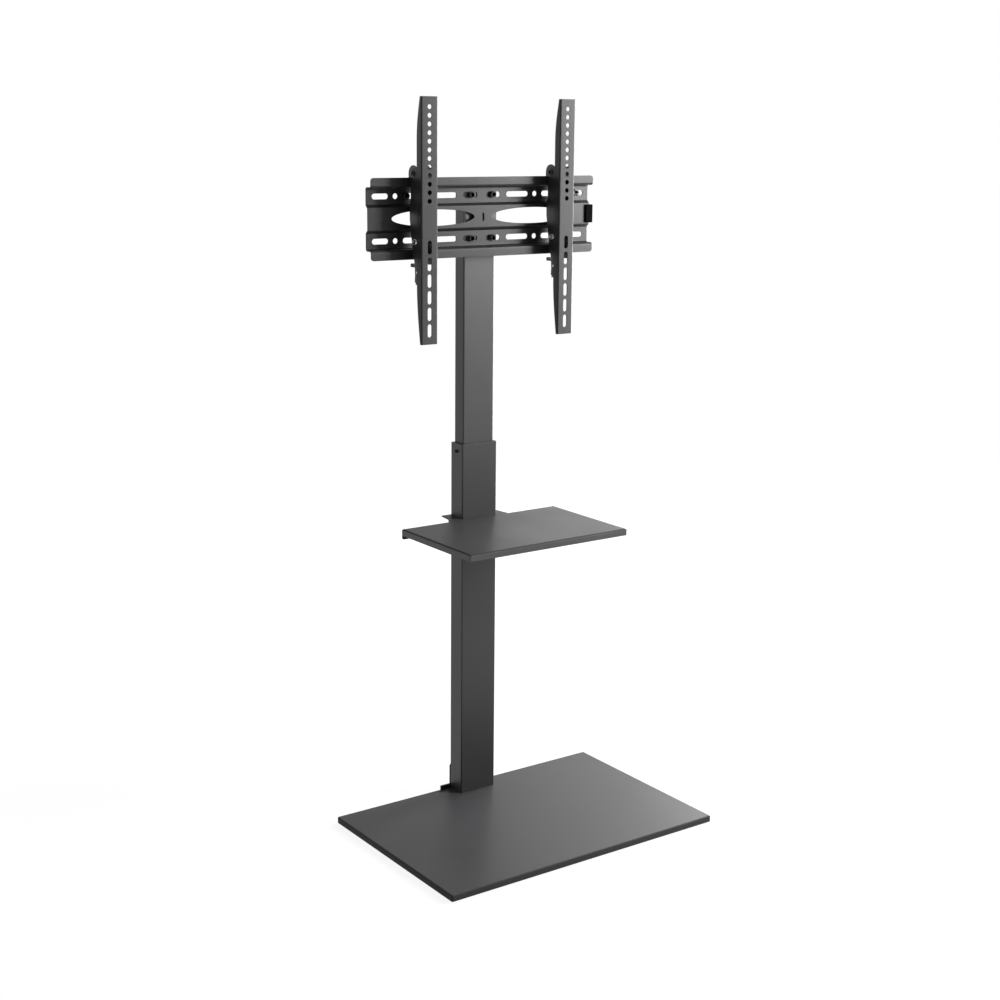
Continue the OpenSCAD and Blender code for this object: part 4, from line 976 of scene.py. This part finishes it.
stations = {arm_low, arm_top} | {arm_top - taper_top * i / 10 for i in range(11)}
stations |= {arm_low + taper_bottom * i / 12 for i in range(13)}
for height, r in ((pivot_z, pivot_lobe), (lock_z, lock_lobe)):
    stations |= {height + s * (r + lobe_run - 0.8 * i) for i in range(10) for s in (-1, 1)}
    stations |= {height + r * math.sin(math.radians(a)) for a in range(-90, 91, 9)}
stations = sorted(round(z, 4) for z in stations)

for side, x0 in (("left", -152.5), ("right", 155)):
    def arm_section(z, x0=x0):
        deep = arm_y + flange_depth(z)
        wide = arm_w / 2 - arm_t / 2
        return bend_line([(x0 - wide, deep), (x0 - wide, arm_y + 1), (x0 + wide, arm_y + 1),
                          (x0 + wide, deep)], [arm_bend, arm_bend], steps=5)
    arm = folded(side + "_arm_channel", stations, arm_section, arm_t, lambda z, x, y: (x, y, z))
    punched(arm, (x0, arm_y + 1, arm_top - 18), hole_w, hole_w, step=(0, 0, -hole_step),
            count=12, depth=8)
    punched(arm, (x0, arm_y + 1, arm_low + 25), hole_w, slot_long, step=(0, 0, slot_step),
            count=6, depth=8)
    for y, z, bore in ((pivot_y, pivot_z, 8.1), (lock_y, lock_z, 5.2)):
        punched(arm, (x0, y, z), bore, bore, (0, 90, 0), depth=60)
    on_arm, on_hook = side + "_screen_arm", side + "_hook"
    dressed(eased(arm, 0.3, angle=50), arm_paint, on_arm, side + "_arm")

    cad_copy(side + "_tilt_bracket", side + "_hook_bracket", on_hook, bracket_paint, 0.4)
    cad_copy(side + "_rest_pad", side + "_buffer", on_hook, black_plastic, 0.6)
    cad_copy(side + "_latch_pin", side + "_latch_rivet", on_hook, zinc_steel, 0.4)
    cad_copy(side + "_latch", side + "_folded_latch", side + "_safety_latch", bracket_paint,
             0.35)

    (pivot, pivot_end), (lock, lock_end) = (
        [[((x, y, z), (0, 90, 0))] for x in (x0 - arm_w / 2, x0 + arm_w / 2)]
        for y, z in ((pivot_y, pivot_z), (lock_y, lock_z)))
    bolts(side + "_pivot_screw", pivot, zinc_steel, on_arm, side + "_pivot_bolt", m8,
          arm_w + 7.4, 9, 0.8, 0.9, (2.6, 1.9), Head_Radius=0.0052, Head_Height=0.00317)
    bolts(side + "_lock_screw", lock, black_steel, on_arm, side + "_lock_bolt", m5,
          arm_w + 5, 8, 0.8, 0.9, (1.9, 1.5))
    nuts(side + "_pivot_hex_nut", pivot_end, on_arm, side + "_pivot_nut", 4, 13, 6.4, 0.86)
    nuts(side + "_lock_hex_nut", lock_end, on_arm, side + "_lock_nut", 2.5, 8.125, 4, 0.86)
